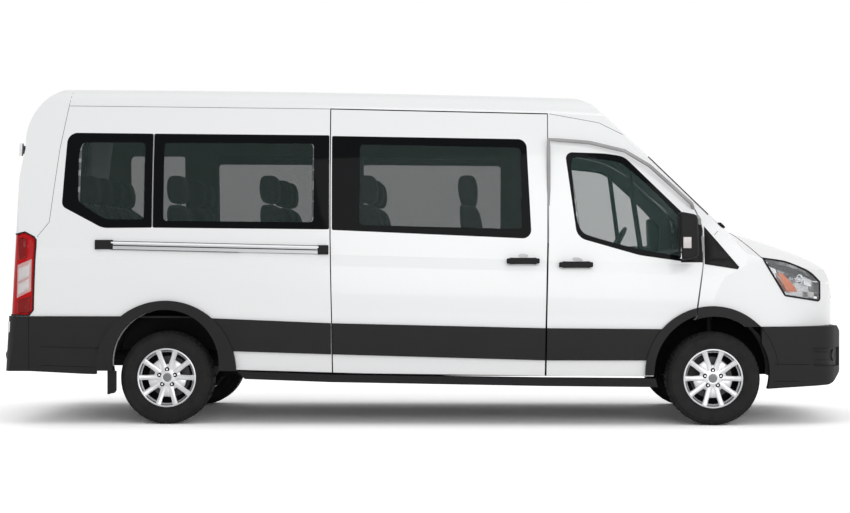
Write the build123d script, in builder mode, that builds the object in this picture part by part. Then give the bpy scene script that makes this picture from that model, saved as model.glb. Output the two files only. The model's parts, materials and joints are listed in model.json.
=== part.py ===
from build123d import *
import os
from math import cos, pi, radians, sin

# Minibus, in millimetres. +X is forward, +Y is the vehicle's left, +Z is up.
# The origin is on the ground, midway between the bumpers and between the sides.
# Right-hand pieces (negative Y) are drawn, and left-hand ones are their mirror images.

# ---- driving dimensions ----
front_axle_x = 2055.0
rear_axle_x = -1860.0
tyre_radius = 333.0
track_face = 980.0  # from the centre plane to a tyre's outer face
tyre_width = 225.0
rim_radius = 213.0
disc_radius = 150.0
kingpin_y = 735.0  # the steering axis, from the centre plane
floor_z = 560.0
wall = 60.0  # a body wall or a door, outside to inside
skin = 8.0  # the glass and a door's outer flange lie in this depth
trim_depth = 16.0  # how far the dark cladding stands proud
flare_depth = 28.0  # how far the wheel arch flares stand proud
shut_gap = 8.0  # between a door and its frame
flange = 15.0  # how far a door's outer skin reaches past its box
rake = 0.0265  # the parked body runs down towards the nose by this slope
sill_z = 358.0  # lower edge of the side walls, at x = 0
belt_z = 1340.0  # top of the lower side, at x = 0
reach = 1400.0  # half the width of the space that the cutting prisms span

# Stations of the body side. Columns: x, half width at the belt, half width at the gutter,
# gutter height, roof shoulder height.
rear_stations = [
    (-3100, 1000, 880, 2306, 2424),
    (-700, 1000, 880, 2273, 2397),
    (907, 1000, 880, 2234, 2355),
]
front_stations = [
    (907, 1000, 880, 2234, 2355),
    (1300, 995, 858, 2215, 2335),
    (1700, 985, 800, 2190, 2305),
    (2300, 960, 700, 2150, 2260),
    (3100, 900, 560, 2100, 2200),
]

rear_face_x = -2992.0  # the rear face at z = 700
rear_lean = 0.056  # how fast the rear face leans forward as it rises
rear_corner = 110.0
screen_top = (1604.0, 2006.0)  # x and z of the windscreen's centre line
screen_foot = (2214.0, 1425.0)
screen_bow = 5200.0  # radius of the windscreen across the vehicle
nose_x = 3000.0
bonnet_bow = 2900.0  # radius of the bonnet across the vehicle
form_height = 2600.0

# ---- outlines seen from the side: (x, z) corners, and a third number rounds a corner ----
gutter = [(-2578, 2299), (-1972, 2291), (-680, 2273), (891, 2234), (1246, 2169), (1660, 1945)]
rear_seam = [(-2578, 2299), (-2636, 1983), (-2701, 1452), (-2788, 1345), (-2809, 1330), (-2809, 777)]
front_arch = (2055, 374, 404)  # x, z and radius of the opening
rear_arch = (-1857, 440, 384)
front_flare_ring = (2045, 374, 478)
rear_flare_ring = (-1857, 383, 506)
front_housing_ring = (2055, 374, 438)
bumper_top = 704.0
rear_bumper_top = 777.0
cover_seam_x = 2570.0  # between a wing and the nose cover

roof_outline = gutter + [(1700, form_height), (-2545, form_height)]
tail_outline = rear_seam + [(-3200, 777), (-3200, form_height), (-2545, form_height)]
side_outline = rear_seam[::-1] + [(-1972, 2291), (-688, 2273), (-684, 1340), (-669, 700), (-665, 200),
                                  (-2297, 200), (-2297, 777)]
left_outline = rear_seam[::-1] + [(-1972, 2291), (-680, 2273), (880, 2234), (880, 2048), (876, 2040),
                                  (872, 1322), (858, 716), (854, 352), (-665, 368), (-665, 200),
                                  (-2297, 200), (-2297, 777)]
sliding_outline = [(-684, 2269), (-680, 1340), (-665, 700), (-661, 368), (857, 352), (862, 716),
                   (876, 1322), (878, 2048), (878, 2230)]
cab_outline = [(880, 2234), (891, 2234), (1246, 2169), (1660, 1945), (2330, 1300), (2330, 1180),
               (1984, 1180), (1960, 1300), (1500, 1800), (900, 2000), (880, 2044)]
front_door_outline = [(884, 2042), (1175, 2020, 600), (1424, 1962, 500), (1601, 1855, 600), (1920, 1563, 250),
                      (1977, 1428, 300), (1984, 1165, 600), (1940, 868), (1930, 782), (1842, 742, 350),
                      (1754, 675, 350), (1687, 586, 350), (1644, 484, 350), (1630, 346), (862, 352),
                      (866, 716), (880, 1322)]
bonnet_outline = [(2252, 1500), (2256, 1380), (2400, 1196), (2586, 1172, 300), (2774, 1094, 300),
                  (2856, 1022), (3100, 985), (3100, 1500)]
headlamp_outline = [(2398, 1210), (2574, 926, 20), (2854, 882, 20), (2852, 1060), (2774, 1140), (2584, 1210)]
wing_outline = [(1984, 1290), (1988, 1165), (1948, 868), (1934, 778), (1880, bumper_top),
                (cover_seam_x, bumper_top), (cover_seam_x, 1250), (2330, 1300)]
fascia_outline = [(cover_seam_x, bumper_top), (3100, bumper_top), (3100, 1300), (cover_seam_x, 1300)]
tail_lamp_outline = [(-3050, 1372), (-2932, 1366), (-2875, 1380), (-2809, 1345), (-2795, 1323),
                     (-2809, 820), (-2838, 784), (-3050, 784)]
strip_outline = [(rear_arch[0], 771), (-1541, 764), (-680, 729), (855, 695), (1686, 689), (1925, 690),
                 (1925, 466), (855, 466), (-680, 507), (-1397, 528), (rear_arch[0], 534)]
rail_outline = [(-2362, 1319), (-694, 1280), (-694, 1222), (-2362, 1255)]
behind_door = [(-2310, 200), (-2310, 900), (-672, 900), (-670, 200)]
ahead_of_door = [(1936, 1000), (1936, 778), (1880, bumper_top), (2530, bumper_top), (2530, 1000)]
left_run = [(-2310, 200), (-2310, 900), (862, 900), (862, 200)]
sill_outline = [(-1345, 384), (-672, 360), (859, 340), (1640, 336), (1655, 276), (855, 282), (-680, 307),
                (-1289, 328)]
bumper_side = [(2400, bumper_top), (2985, bumper_top), (3046, 630, 60), (3034, 385, 60), (2930, 285, 120),
               (2400, 258)]
rear_bumper_outline = [(-2297, rear_bumper_top), (-3200, rear_bumper_top), (-3200, 382), (-2838, 382),
                       (-2310, 356), (-2297, 356)]
bumper_wing_outline = [(-2150, rear_bumper_top), (-2297, rear_bumper_top), (-2297, 356), (-2150, 356)]
step_outline = [(-2900, 552), (-3018, 552, 20), (-3040, 500, 30), (-3026, 410, 30), (-2940, 392)]
fog_outline = [(2770, 552, 12), (3100, 546), (3100, 414), (2945, 412, 12), (2778, 420, 12)]

# ---- window outlines: the glass, and the clear opening behind it ----
quarter_glass = [(-2581, 2099, 75), (-1961, 2091, 12), (-1961, 1411, 12), (-2317, 1409, 150), (-2613, 1566, 50)]
quarter_clear = [(-2478, 2036, 50), (-2020, 2030, 20), (-2020, 1452, 20), (-2300, 1450, 100), (-2487, 1560, 40)]
middle_glass = [(-1955, 2091, 12), (-690, 2077, 12), (-686, 1398, 12), (-1955, 1411, 12)]
middle_clear = [(-1894, 2036, 40), (-808, 2026, 40), (-808, 1444, 40), (-1894, 1456, 40)]
door_glass = [(-672, 2072, 12), (724, 2046, 65), (761, 1331, 60), (-668, 1394, 12)]
door_clear = [(-475, 2020, 40), (690, 1992, 40), (700, 1395, 40), (-475, 1425, 40)]
left_front_glass = [(-680, 2072, 12), (724, 2046, 65), (761, 1331, 60), (-676, 1394, 12)]
left_middle_clear = [(-1760, 2034, 40), (-860, 2026, 40), (-860, 1446, 40), (-1760, 1456, 40)]
left_front_clear = [(-560, 2020, 40), (570, 1996, 40), (570, 1400, 40), (-560, 1430, 40)]
front_door_glass = [(1000, 1953, 45), (1290, 1943, 500), (1425, 1922, 140), (1893, 1464, 80),
                    (1885, 1163, 32), (1530, 1213, 500), (1085, 1340, 100)]
door_frame_width = 26.0  # between a front door's glass edge and its clear opening

# ---- outlines seen from the front: (y, z) corners ----
screen_glass = [(-715, 1985, 60), (715, 1985, 60), (862, 1408, 60), (-862, 1408, 60)]
screen_clear = [(-665, 1940, 40), (665, 1940, 40), (808, 1453, 40), (-808, 1453, 40)]
rear_glass = [(-790, 1425, 30), (-790, 1700, 200), (-700, 2130, 60), (-95, 2130, 30), (-95, 1425, 30)]
rear_clear = [(-752, 1460, 20), (-752, 1700, 200), (-672, 2095, 40), (-130, 2095, 20), (-130, 1460, 20)]
rear_door_edge = 888.0
rear_door_outline = [(-rear_door_edge, 604), (-rear_door_edge, 1345), (-800, 2232), (-3, 2232), (-3, 604)]
post_width = 36.0  # the frame beside a rear door, between the door and the bumper's corner
grille_outline = [(-470, 748, 20), (-520, 930, 20), (520, 930, 20), (470, 748, 20)]
intake_outline = [(-420, 395, 20), (-460, 520, 20), (460, 520, 20), (420, 395, 20)]

# ---- smaller pieces ----
leaf_spring = [(-2492, 440), (-2492, 466), (-1860, 414, 3000), (-1228, 466), (-1228, 440), (-1860, 388, 3000)]
rear_hinge = Plane(origin=(-2995, -893, 784), z_dir=(rear_lean, 0, 1))
rear_barrels = (-129, 1151)  # where each barrel starts, up the hinge axis
hinge_radius = 13.0

# ---- wheels: (radius, distance from the centre plane) corners ----
tyre_profile = [(213, 780), (240, 757), (285, 755), (322, 768), (333, 790), (333, 945), (322, 967), (285, 980),
                (240, 978), (213, 955)]
barrel_profile = [(212, 781), (212, 964), (204, 964), (196, 945), (196, 790), (204, 781)]
hub_profile = [(0, 826), (75, 826), (90, 905), (84, 942), (0, 942)]
disc_profile = [(0, 808), (disc_radius, 808), (disc_radius, 826), (0, 826)]

# ---- seats: the foot of the back, the middle and the width ----
front_rows = [(960, 470, 470), (960, -215, 400), (960, -630, 400)]
rear_rows = [(x, y, 430) for x in (300, -430, -1150, -1830) for y in (650, 215, -650)]
rear_rows = rear_rows + [(-2480, y, 430) for y in (650, 217, -217, -650)]


def low(x, z):
    """The height at x of a line that stands at z where x is 0."""
    return z - rake * x


# ---- the body's outer form and its inner offsets ----
def station(x, belt, gutter_y, gutter_z, roof_z, inset, foot):
    """A cross-section of the body at x, taken in by inset all round."""
    lower = belt / 1000
    sill = (996 * lower - inset, low(x, foot))
    waist = (1026 * lower - inset, low(x, 760))
    crease_low = (1018 * lower - inset, low(x, 1120))
    crease_top = (1001 * lower - inset, low(x, 1200))
    window_foot = (belt - 6 - inset, low(x, belt_z))
    rail = (gutter_y - inset, gutter_z - 0.3 * inset)
    shoulder = (gutter_y - 140 - 0.6 * inset, roof_z - inset)
    crown = shoulder[1] + 22
    with BuildSketch(Plane(origin=(x, 0, 0), x_dir=(0, 1, 0), z_dir=(1, 0, 0))) as face:
        with BuildLine():
            Line((0, sill[1]), sill)
            ThreePointArc(sill, (sill[0] / 2 + waist[0] / 2 + 8, sill[1] / 2 + waist[1] / 2), waist)
            middle = (waist[0] / 2 + crease_low[0] / 2 + 5, waist[1] / 2 + crease_low[1] / 2)
            ThreePointArc(waist, middle, crease_low)
            Line(crease_low, crease_top)
            Line(crease_top, window_foot)
            middle = (window_foot[0] / 2 + rail[0] / 2 + 16, window_foot[1] / 2 + rail[1] / 2)
            ThreePointArc(window_foot, middle, rail)
            middle = (rail[0] - 38, rail[1] + 0.72 * (shoulder[1] - rail[1]))
            ThreePointArc(rail, middle, shoulder)
            ThreePointArc(shoulder, (shoulder[0] / 2, crown - 6), (0, crown))
            Line((0, crown), (0, sill[1]))
        make_face()
        mirror(about=Plane.YZ)
    return face.sketch


def side_profile(inset):
    """The body from the side: the tail's curve, the cab's roof, the windscreen, the bonnet and the nose."""
    with BuildPart() as slab:
        with BuildSketch(Plane.XZ):
            with BuildLine():
                Polyline((nose_x + 40, 180), (-3150, 180), (-3150, 900), (-2972, 1100))
                ThreePointArc((-2972, 1100), (-2934, 1700), (-2885, 1990))
                ThreePointArc((-2885, 1990), (-2790, 2300), (-2560, 2440))
                Polyline((-2560, 2440), (-2300, 2520), (700, 2520), (800, 2400))
                ThreePointArc((800, 2400), (1120, 2335), (1341, 2212))
                ThreePointArc((1341, 2212), (1475, 2112), screen_top)
                Polyline(screen_top, screen_foot, (2240, 1390), (2300, 1366))
                ThreePointArc((2300, 1366), (2520, 1305), (2708, 1228))
                ThreePointArc((2708, 1228), (2860, 1140), (2945, 1025))
                Polyline((2945, 1025), (nose_x + 2, 860), (nose_x + 40, 760), (nose_x + 40, 180))
            make_face()
            if inset:
                offset(amount=-inset)
        extrude(amount=1200, both=True)
    return slab.part


def plan_profile(inset):
    """The body from above: rounded rear corners that lean with the rear face, and a tapering nose."""
    corner = rear_corner - inset / 2
    side = 1030 - inset
    waist = (1000, 1100 - inset)
    taper = (1400, 1060 - inset)
    wing = (2500, 920 - inset)
    cheek = (2797 - 0.7 * inset, 776 - 0.7 * inset)
    front = (2978 - inset, 500 - 0.4 * inset)
    tip = (nose_x - inset, 0)
    with BuildPart() as block:
        for height in (0, form_height):
            with BuildSketch(Plane.XY.offset(height)):
                rear = rear_face_x + rear_lean * (height - 700) + inset
                bend = (rear + 0.29 * corner, side - 0.29 * corner)
                with BuildLine():
                    Line((rear, 0), (rear, side - corner))
                    ThreePointArc((rear, side - corner), bend, (rear + corner, side))
                    Polyline((rear + corner, side), (-2600, 1100 - inset), waist, taper)
                    ThreePointArc(taper, (1953, 1012 - inset), wing)
                    ThreePointArc(wing, cheek, front)
                    ThreePointArc(front, (nose_x - 4 - inset, 250), tip)
                    Line(tip, (rear, 0))
                make_face()
                mirror(about=Plane.XZ)
        loft(ruled=True)
    return block.part


def outside_bow(top, foot, bow):
    """The space outside a surface that runs from top to foot and is bowed across the vehicle."""
    run = Vector(foot[0] - top[0], 0, foot[1] - top[1]).normalized()
    plane = Plane(origin=(top[0], 0, top[1]), x_dir=(0, 1, 0), z_dir=run)
    half = 1250
    sag = half * half / (2 * bow)
    with BuildPart() as space:
        with BuildSketch(plane):
            with BuildLine():
                ThreePointArc((-half, -sag), (0, 0), (half, -sag))
                Polyline((half, -sag), (half, 1600), (-half, 1600), (-half, -sag))
            make_face()
        extrude(amount=2200, both=True)
    return space.part


def body_form(inset, foot=sill_z):
    """The whole closed body, taken in by inset."""
    slope = 0.72 * inset  # an inset surface stands lower by this and further back by this
    screen_edge = (screen_top[0] - slope, screen_top[1] - slope)
    screen_base = (screen_foot[0] - slope, screen_foot[1] - slope)
    rear_faces = [station(*row, inset, foot) for row in rear_stations]
    front_faces = [station(*row, inset, foot) for row in front_stations]
    silhouette = side_profile(inset)
    plan = plan_profile(inset)
    above_screen = outside_bow(screen_edge, screen_base, screen_bow)
    above_bonnet = outside_bow((2200, 1420 - inset), (2900, 1185 - inset), bonnet_bow)
    with BuildPart() as whole:
        loft(rear_faces)
        loft(front_faces)
        add(silhouette, mode=Mode.INTERSECT)
        add(plan, mode=Mode.INTERSECT)
        add(above_screen & above_bonnet, mode=Mode.SUBTRACT)
    return whole.part


# ---- cutting and trimming, inside the part that is being built ----
def draw(outline):
    """A closed line through an outline's corners, rounded where a corner says so."""
    radii = [corner[2] if len(corner) > 2 else 0 for corner in outline]
    FilletPolyline(*[corner[:2] for corner in outline], radius=radii, close=True)


def side_cut(outline, mode=Mode.SUBTRACT, grow=0.0, both=False):
    """Cut away the space inside an outline seen from the side, or keep only that with Mode.INTERSECT."""
    with BuildSketch(Plane.XZ) as profile:
        with BuildLine():
            draw(outline)
        make_face()
        if grow:
            offset(amount=grow, kind=Kind.INTERSECTION)
    extrude(profile.sketch, amount=reach, both=both, mode=mode)


def end_cut(outline, start, depth, mode=Mode.SUBTRACT, grow=0.0):
    """The same for an outline seen from the front, over a depth that begins at x = start."""
    with BuildSketch(Plane.YZ.offset(start)) as profile:
        with BuildLine():
            draw(outline)
        make_face()
        if grow:
            offset(amount=grow, kind=Kind.INTERSECTION)
    extrude(profile.sketch, amount=depth, mode=mode)


def disc(x, z, radius, nearest=0.0, farthest=reach, mode=Mode.ADD):
    """A cylinder across the right half, between two distances from the centre plane."""
    with BuildSketch(Plane.XZ.offset(nearest)) as profile:
        with Locations((x, z)):
            Circle(radius)
    extrude(profile.sketch, amount=farthest - nearest, mode=mode)


def block(x0, x1, y0, y1, z0, z1, mode=Mode.ADD):
    """A block between two corners."""
    with Locations(((x0 + x1) / 2, (y0 + y1) / 2, (z0 + z1) / 2)):
        Box(x1 - x0, y1 - y0, z1 - z0, mode=mode)


def bar(outline, y0, y1, mode=Mode.ADD):
    """A bar on the right side between two distances from the centre plane."""
    with BuildSketch(Plane.XZ.offset(y0)) as profile:
        with BuildLine():
            draw(outline)
        make_face()
    extrude(profile.sketch, amount=y1 - y0, mode=mode)


# ---- writing the pieces ----
def save(shape, label):
    """Write one node as a file of its own."""
    solids = [solid for solid in shape.solids() if solid.volume > 500]
    piece = Compound(children=solids) if len(solids) > 1 else Part(solids[0].wrapped)
    piece.label = label
    export_step(piece, f"parts/{label}.step")


def save_each(shape, pattern):
    """Write a right-hand piece and its mirror image as two nodes."""
    save(shape, pattern.format("right"))
    save(mirror(shape, about=Plane.XZ), pattern.format("left"))


def save_both(shape, label):
    """Write a right-hand piece and its mirror image as one node."""
    with BuildPart() as pair:
        add(shape)
        mirror(about=Plane.XZ)
    save(pair.part, label)


def within(shape, outline, grow=0.0):
    """The part of a right-hand shape that lies inside an outline seen from the side."""
    with BuildPart() as kept:
        add(shape)
        side_cut(outline, mode=Mode.INTERSECT, grow=grow)
    return kept.part


def leaf(outline):
    """A door on the right side: an outer skin that reaches past the box behind it."""
    with BuildPart() as around:
        add(skin_right)
        side_cut(outline, mode=Mode.INTERSECT)
        side_cut(outline, grow=-shut_gap / 2 - flange)
    with BuildPart() as door:
        add(shell_right)
        side_cut(outline, mode=Mode.INTERSECT, grow=-shut_gap / 2)
        add(around.part, mode=Mode.SUBTRACT)
    return door.part


def pull(x0, x1, z):
    """A door handle on the right side."""
    with BuildPart() as handle:
        block(x0, x1, -1046, -1024, z - 16, z + 16)
        block(x0, x0 + 30, -1030, -900, z - 16, z + 16)
        block(x1 - 30, x1, -1030, -900, z - 16, z + 16)
        add(outer, mode=Mode.SUBTRACT)
    return handle.part


def barrels(radius, spare=0.0, mode=Mode.ADD):
    """The two barrels of a rear door's hinge, inside the part that is being built."""
    for start in rear_barrels:
        with BuildSketch(rear_hinge.offset(start - spare)) as ring:
            Circle(radius)
        extrude(ring.sketch, amount=90 + 2 * spare, mode=mode)


def bumper_plan(inset=0.0):
    """The front bumper's right half from above, taken in by inset."""
    with BuildPart() as slab:
        with BuildSketch(Plane.XY.offset(240)):
            with BuildLine():
                draw([(2560, 0), (2560, -922), (2900, -856, 260), (3030, -600, 400), (3046, 0)])
            make_face()
            if inset:
                offset(amount=-inset, kind=Kind.INTERSECTION)
        extrude(amount=480)
    return slab.part


def turned(profile, x):
    """A ring or disc about a right-hand wheel's axis, from (radius, distance from the centre plane) points."""
    with BuildPart() as ring:
        with BuildSketch(Plane.YZ.offset(x)):
            with BuildLine():
                Polyline(*[(-y, tyre_radius + radius) for radius, y in profile], close=True)
            make_face()
        revolve(axis=Axis((x, 0, tyre_radius), (0, 1, 0)))
    return ring.part


def rim_at(x):
    """Barrel, hub, brake disc and five forked spokes."""
    with BuildPart() as rim:
        add(turned(barrel_profile, x))
        add(turned(hub_profile, x))
        add(turned(disc_profile, x))
        with BuildSketch(Plane.XZ.offset(910)) as spokes:
            with Locations((x, tyre_radius)):
                with PolarLocations(0, 5, start_angle=-90):
                    with Locations((130, 36)):
                        Rectangle(170, 40, rotation=20.5)
                    with Locations((130, -36)):
                        Rectangle(170, 40, rotation=-20.5)
                Circle(208, mode=Mode.INTERSECT)
        extrude(spokes.sketch, amount=28)
    return rim.part


def seat(x, y, width):
    """A seat's cushion, back and head restraint; x is the foot of the back."""
    with BuildPart() as body:
        with BuildSketch(Plane.XZ.offset(-y - width / 2)):
            with BuildLine():
                Polyline((x - 10, 900), (x - 20, 960), (x - 130, 1590), (x - 60, 1620), (x - 10, 1580),
                         (x + 90, 1020), (x + 480, 1040), (x + 500, 960), (x + 470, 900), close=True)
            make_face()
        extrude(amount=width)
        with BuildSketch(Plane.XZ.offset(-y - 125)):
            with BuildLine():
                Polyline((x - 130, 1650), (x - 145, 1770), (x - 90, 1785), (x - 50, 1760), (x - 50, 1650),
                         close=True)
            make_face()
        extrude(amount=250)
        with BuildSketch(Plane.XY.offset(1600)):
            with Locations((x - 95, y - 60), (x - 95, y + 60)):
                Circle(9)
        extrude(amount=60)
    return body.part


os.makedirs("parts", exist_ok=True)

outer = body_form(0)
skin_form = body_form(skin)
inner = body_form(wall, sill_z - 300)
trim_form = body_form(-trim_depth, sill_z - 60)
flare_form = body_form(-flare_depth, sill_z - 60)
with BuildPart() as right_half:
    block(-3300, 3300, -1200, 0, 0, 2700)
with BuildPart() as flare_space:
    block(-2600, 2700, -1200, -850, 360, 1000)
    block(-2600, 0, -936, -850, 360, 440, mode=Mode.SUBTRACT)
shell = outer - inner
rind = outer - skin_form  # the outermost layer, where the glass lies
shell_right = shell & right_half.part
rind_right = rind & right_half.part
skin_right = skin_form & right_half.part
trim_right = (trim_form & right_half.part) - outer
flare_right = (flare_form & flare_space.part) - outer

# ---- glass ----
with BuildPart() as screen:
    add(rind)
    end_cut(screen_glass, 1500, 900, mode=Mode.INTERSECT)
quarter_pane = within(rind_right, quarter_glass)
middle_pane = within(rind_right, middle_glass)
sliding_pane = within(rind_right, door_glass)
left_front_pane = within(rind_right, left_front_glass)
front_door_pane = within(rind_right, front_door_glass)
with BuildPart() as side_glass:
    add(quarter_pane)
    add(middle_pane)
with BuildPart() as left_glass:
    add(side_glass.part)
    add(left_front_pane)
save(screen.part, "windscreen")
save(side_glass.part, "side_glass_right")
save(mirror(left_glass.part, about=Plane.XZ), "side_glass_left")
save(sliding_pane, "sliding_door_glass")
save_each(front_door_pane, "front_door_{}_glass")

# ---- fixed panels ----
with BuildPart() as roof:
    add(shell)
    side_cut(roof_outline, mode=Mode.INTERSECT, both=True)
    add(screen.part, mode=Mode.SUBTRACT)
    end_cut(screen_clear, 1450, 950)
save(roof.part, "roof_panel")

with BuildPart() as tail_lamp:
    add(shell_right)
    side_cut(tail_lamp_outline, mode=Mode.INTERSECT)
    block(-3200, -2700, -1200, -905, 700, 1500, mode=Mode.INTERSECT)
save_both(tail_lamp.part, "tail_lamps")

with BuildPart() as side_right:
    add(shell_right)
    side_cut(side_outline, mode=Mode.INTERSECT)
    disc(*rear_arch, mode=Mode.SUBTRACT)
    add(tail_lamp.part, mode=Mode.SUBTRACT)
    add(side_glass.part, mode=Mode.SUBTRACT)
    side_cut(quarter_clear)
    side_cut(middle_clear)
save(side_right.part, "side_panel_right")

with BuildPart() as side_left:
    add(shell_right)
    side_cut(left_outline, mode=Mode.INTERSECT)
    disc(*rear_arch, mode=Mode.SUBTRACT)
    add(tail_lamp.part, mode=Mode.SUBTRACT)
    add(left_glass.part, mode=Mode.SUBTRACT)
    side_cut(quarter_clear)
    side_cut(left_middle_clear)
    side_cut(left_front_clear)
save(mirror(side_left.part, about=Plane.XZ), "side_panel_left")

with BuildPart() as cab:
    add(shell_right)
    side_cut(cab_outline, mode=Mode.INTERSECT)
    side_cut(front_door_outline, grow=shut_gap / 2)
    side_cut(bonnet_outline, grow=shut_gap / 2)
    add(screen.part, mode=Mode.SUBTRACT)
    end_cut(screen_clear, 1450, 950)
save_both(cab.part, "cab_frame")

with BuildPart() as headlamp:
    add(shell_right)
    side_cut(headlamp_outline, mode=Mode.INTERSECT)
    side_cut(bonnet_outline, grow=shut_gap / 2)
save_both(headlamp.part, "headlamps")

with BuildPart() as wing:
    add(shell_right)
    side_cut(wing_outline, mode=Mode.INTERSECT)
    disc(*front_arch, mode=Mode.SUBTRACT)
    side_cut(headlamp_outline)
    side_cut(bonnet_outline, grow=shut_gap / 2)
    side_cut(cab_outline)
save_each(wing.part, "wing_{}")

with BuildPart() as fascia:
    add(shell)
    side_cut(fascia_outline, mode=Mode.INTERSECT, both=True)
    side_cut(bonnet_outline, grow=shut_gap / 2, both=True)
    side_cut(headlamp_outline, both=True)
    end_cut(grille_outline, 2700, 500)
save(fascia.part, "front_fascia")

with BuildPart() as bonnet:
    add(shell)
    side_cut(bonnet_outline, mode=Mode.INTERSECT, grow=-shut_gap / 2, both=True)
save(bonnet.part, "bonnet")

# ---- side doors: the sliding one moves out and then back, so it stays shut ----
with BuildPart() as sliding_door:
    add(leaf(sliding_outline))
    add(sliding_pane, mode=Mode.SUBTRACT)
    side_cut(door_clear)
save(sliding_door.part, "sliding_door")

with BuildPart() as front_door:
    add(leaf(front_door_outline))
    add(front_door_pane, mode=Mode.SUBTRACT)
    side_cut(front_door_glass, grow=-door_frame_width)
save_each(front_door.part, "front_door_{}")

# ---- tail: the frame round the rear doors, and the doors ----
with BuildPart() as rear_post:
    add(shell_right)
    block(-3200, -2800, -rear_door_edge - shut_gap / 2 - post_width, -rear_door_edge - shut_gap / 2,
          600, rear_bumper_top, mode=Mode.INTERSECT)
with BuildPart() as tail:
    add(shell_right)
    side_cut(tail_outline, mode=Mode.INTERSECT)
    add(tail_lamp.part, mode=Mode.SUBTRACT)
    end_cut(rear_door_outline, -3200, 500, grow=shut_gap / 2)
    add(rear_post.part)
    barrels(hinge_radius + 6, spare=6, mode=Mode.SUBTRACT)
save_both(tail.part, "rear_frame")

with BuildPart() as rear_block:
    block(-3200, -2650, -1200, 0, 560, 2400)
with BuildPart() as rear_pane:
    add(rind_right)
    add(rear_block.part, mode=Mode.INTERSECT)
    end_cut(rear_glass, -3200, 500, mode=Mode.INTERSECT)
with BuildPart() as rear_rim:
    add(skin_right)
    add(rear_block.part, mode=Mode.INTERSECT)
    end_cut(rear_door_outline, -3200, 480, mode=Mode.INTERSECT)
    end_cut(rear_door_outline, -3200, 480, grow=-shut_gap / 2 - flange)
with BuildPart() as rear_door:
    add(shell_right)
    add(rear_block.part, mode=Mode.INTERSECT)
    end_cut(rear_door_outline, -3200, 480, mode=Mode.INTERSECT, grow=-shut_gap / 2)
    add(rear_rim.part, mode=Mode.SUBTRACT)
    barrels(hinge_radius)
    block(-2938, -2922, -893, -800, 1950, 2010)  # the upper hinge's arm and its foot
    block(-2938, -2874, -812, -790, 1950, 2010)
    add(rear_pane.part, mode=Mode.SUBTRACT)
    end_cut(rear_clear, -3200, 480)
save_each(rear_door.part, "rear_door_{}")
save_each(rear_pane.part, "rear_door_{}_glass")

# ---- dark trim: strips and wheel arch flares proud of the side ----
with BuildPart() as strip:
    add(trim_right)
    side_cut(strip_outline, mode=Mode.INTERSECT)
    disc(*rear_flare_ring, mode=Mode.SUBTRACT)
    disc(*front_flare_ring, mode=Mode.SUBTRACT)
with BuildPart() as rear_flare:
    add(flare_right)
    disc(*rear_flare_ring, mode=Mode.INTERSECT)
    disc(*rear_arch, mode=Mode.SUBTRACT)
    block(-2600, 0, -1200, 0, 200, 386, mode=Mode.SUBTRACT)
with BuildPart() as front_flare:
    add(flare_right)
    disc(*front_flare_ring, mode=Mode.INTERSECT)
    disc(*front_arch, mode=Mode.SUBTRACT)

front_flare_rest = within(front_flare.part, ahead_of_door)
with BuildPart() as right_trim:
    add(within(strip.part, behind_door))
    add(rear_flare.part)
    add(front_flare_rest)
with BuildPart() as left_trim:
    add(within(strip.part, left_run))
    add(rear_flare.part)
    add(front_flare_rest)
with BuildPart() as side_trim:
    add(right_trim.part)
    add(mirror(left_trim.part, about=Plane.XZ))
with BuildPart() as slide_trim:
    add(within(strip.part, sliding_outline, -shut_gap / 2))
    add(pull(585, 805, 1170))
with BuildPart() as door_trim:
    add(within(strip.part, front_door_outline, -shut_gap / 2))
    add(within(front_flare.part, front_door_outline, -shut_gap / 2))
    add(pull(955, 1189, 1145))
with BuildPart() as sill:
    bar(sill_outline, 930, 1014)
with BuildPart() as mud_flap:
    block(-2282, -2270, -990, -770, 215, 384)
    bar([(-2282, 384), (-2216, 384), (-2216, 222, 30), (-2282, 222)], 980, 990)
save(side_trim.part, "side_trim")
save(within(trim_right, rail_outline), "slide_rail")
save(slide_trim.part, "sliding_door_trim")
save_each(door_trim.part, "front_door_{}_trim")
save_both(sill.part, "sills")
save_both(mud_flap.part, "mud_flaps")

# ---- door mirrors ----
with BuildPart() as door_mirror:
    bar([(1808, 1176, 30), (1915, 1176, 30), (1907, 1518, 36), (1814, 1518, 36)], 1077, 1267)
    fillet(faces().sort_by(Axis.Y)[0].edges(), 24)
    fillet(faces().sort_by(Axis.Y)[-1].edges(), 12)
with BuildPart() as mirror_arm:
    block(1866, 1916, -1120, -920, 1186, 1240)
    add(outer, mode=Mode.SUBTRACT)
    add(door_mirror.part)
save_each(mirror_arm.part, "front_door_{}_mirror")

# ---- bumpers ----
with BuildPart() as fog_recess:
    bar(fog_outline, 560, 1000)
    add(bumper_plan(26), mode=Mode.SUBTRACT)
with BuildPart() as front_bumper:
    add(trim_form & right_half.part)
    add(bumper_plan())
    side_cut(bumper_side, mode=Mode.INTERSECT)
    add(inner, mode=Mode.SUBTRACT)
    disc(*front_arch, mode=Mode.SUBTRACT)
    end_cut(intake_outline, 2700, 500)
    add(fog_recess.part, mode=Mode.SUBTRACT)
save_both(front_bumper.part, "front_bumper")

with BuildPart() as step:
    bar(step_outline, 0, 900)
    add(inner, mode=Mode.SUBTRACT)
with BuildPart() as rear_bumper:
    add(trim_form & right_half.part)
    side_cut(rear_bumper_outline, mode=Mode.INTERSECT)
    add(inner, mode=Mode.SUBTRACT)
    add(within(trim_right, bumper_wing_outline))
    disc(*rear_flare_ring, mode=Mode.SUBTRACT)
    block(-3200, -2800, -930, 0, 596, 900, mode=Mode.SUBTRACT)
    add(step.part)
save_both(rear_bumper.part, "rear_bumper")

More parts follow.
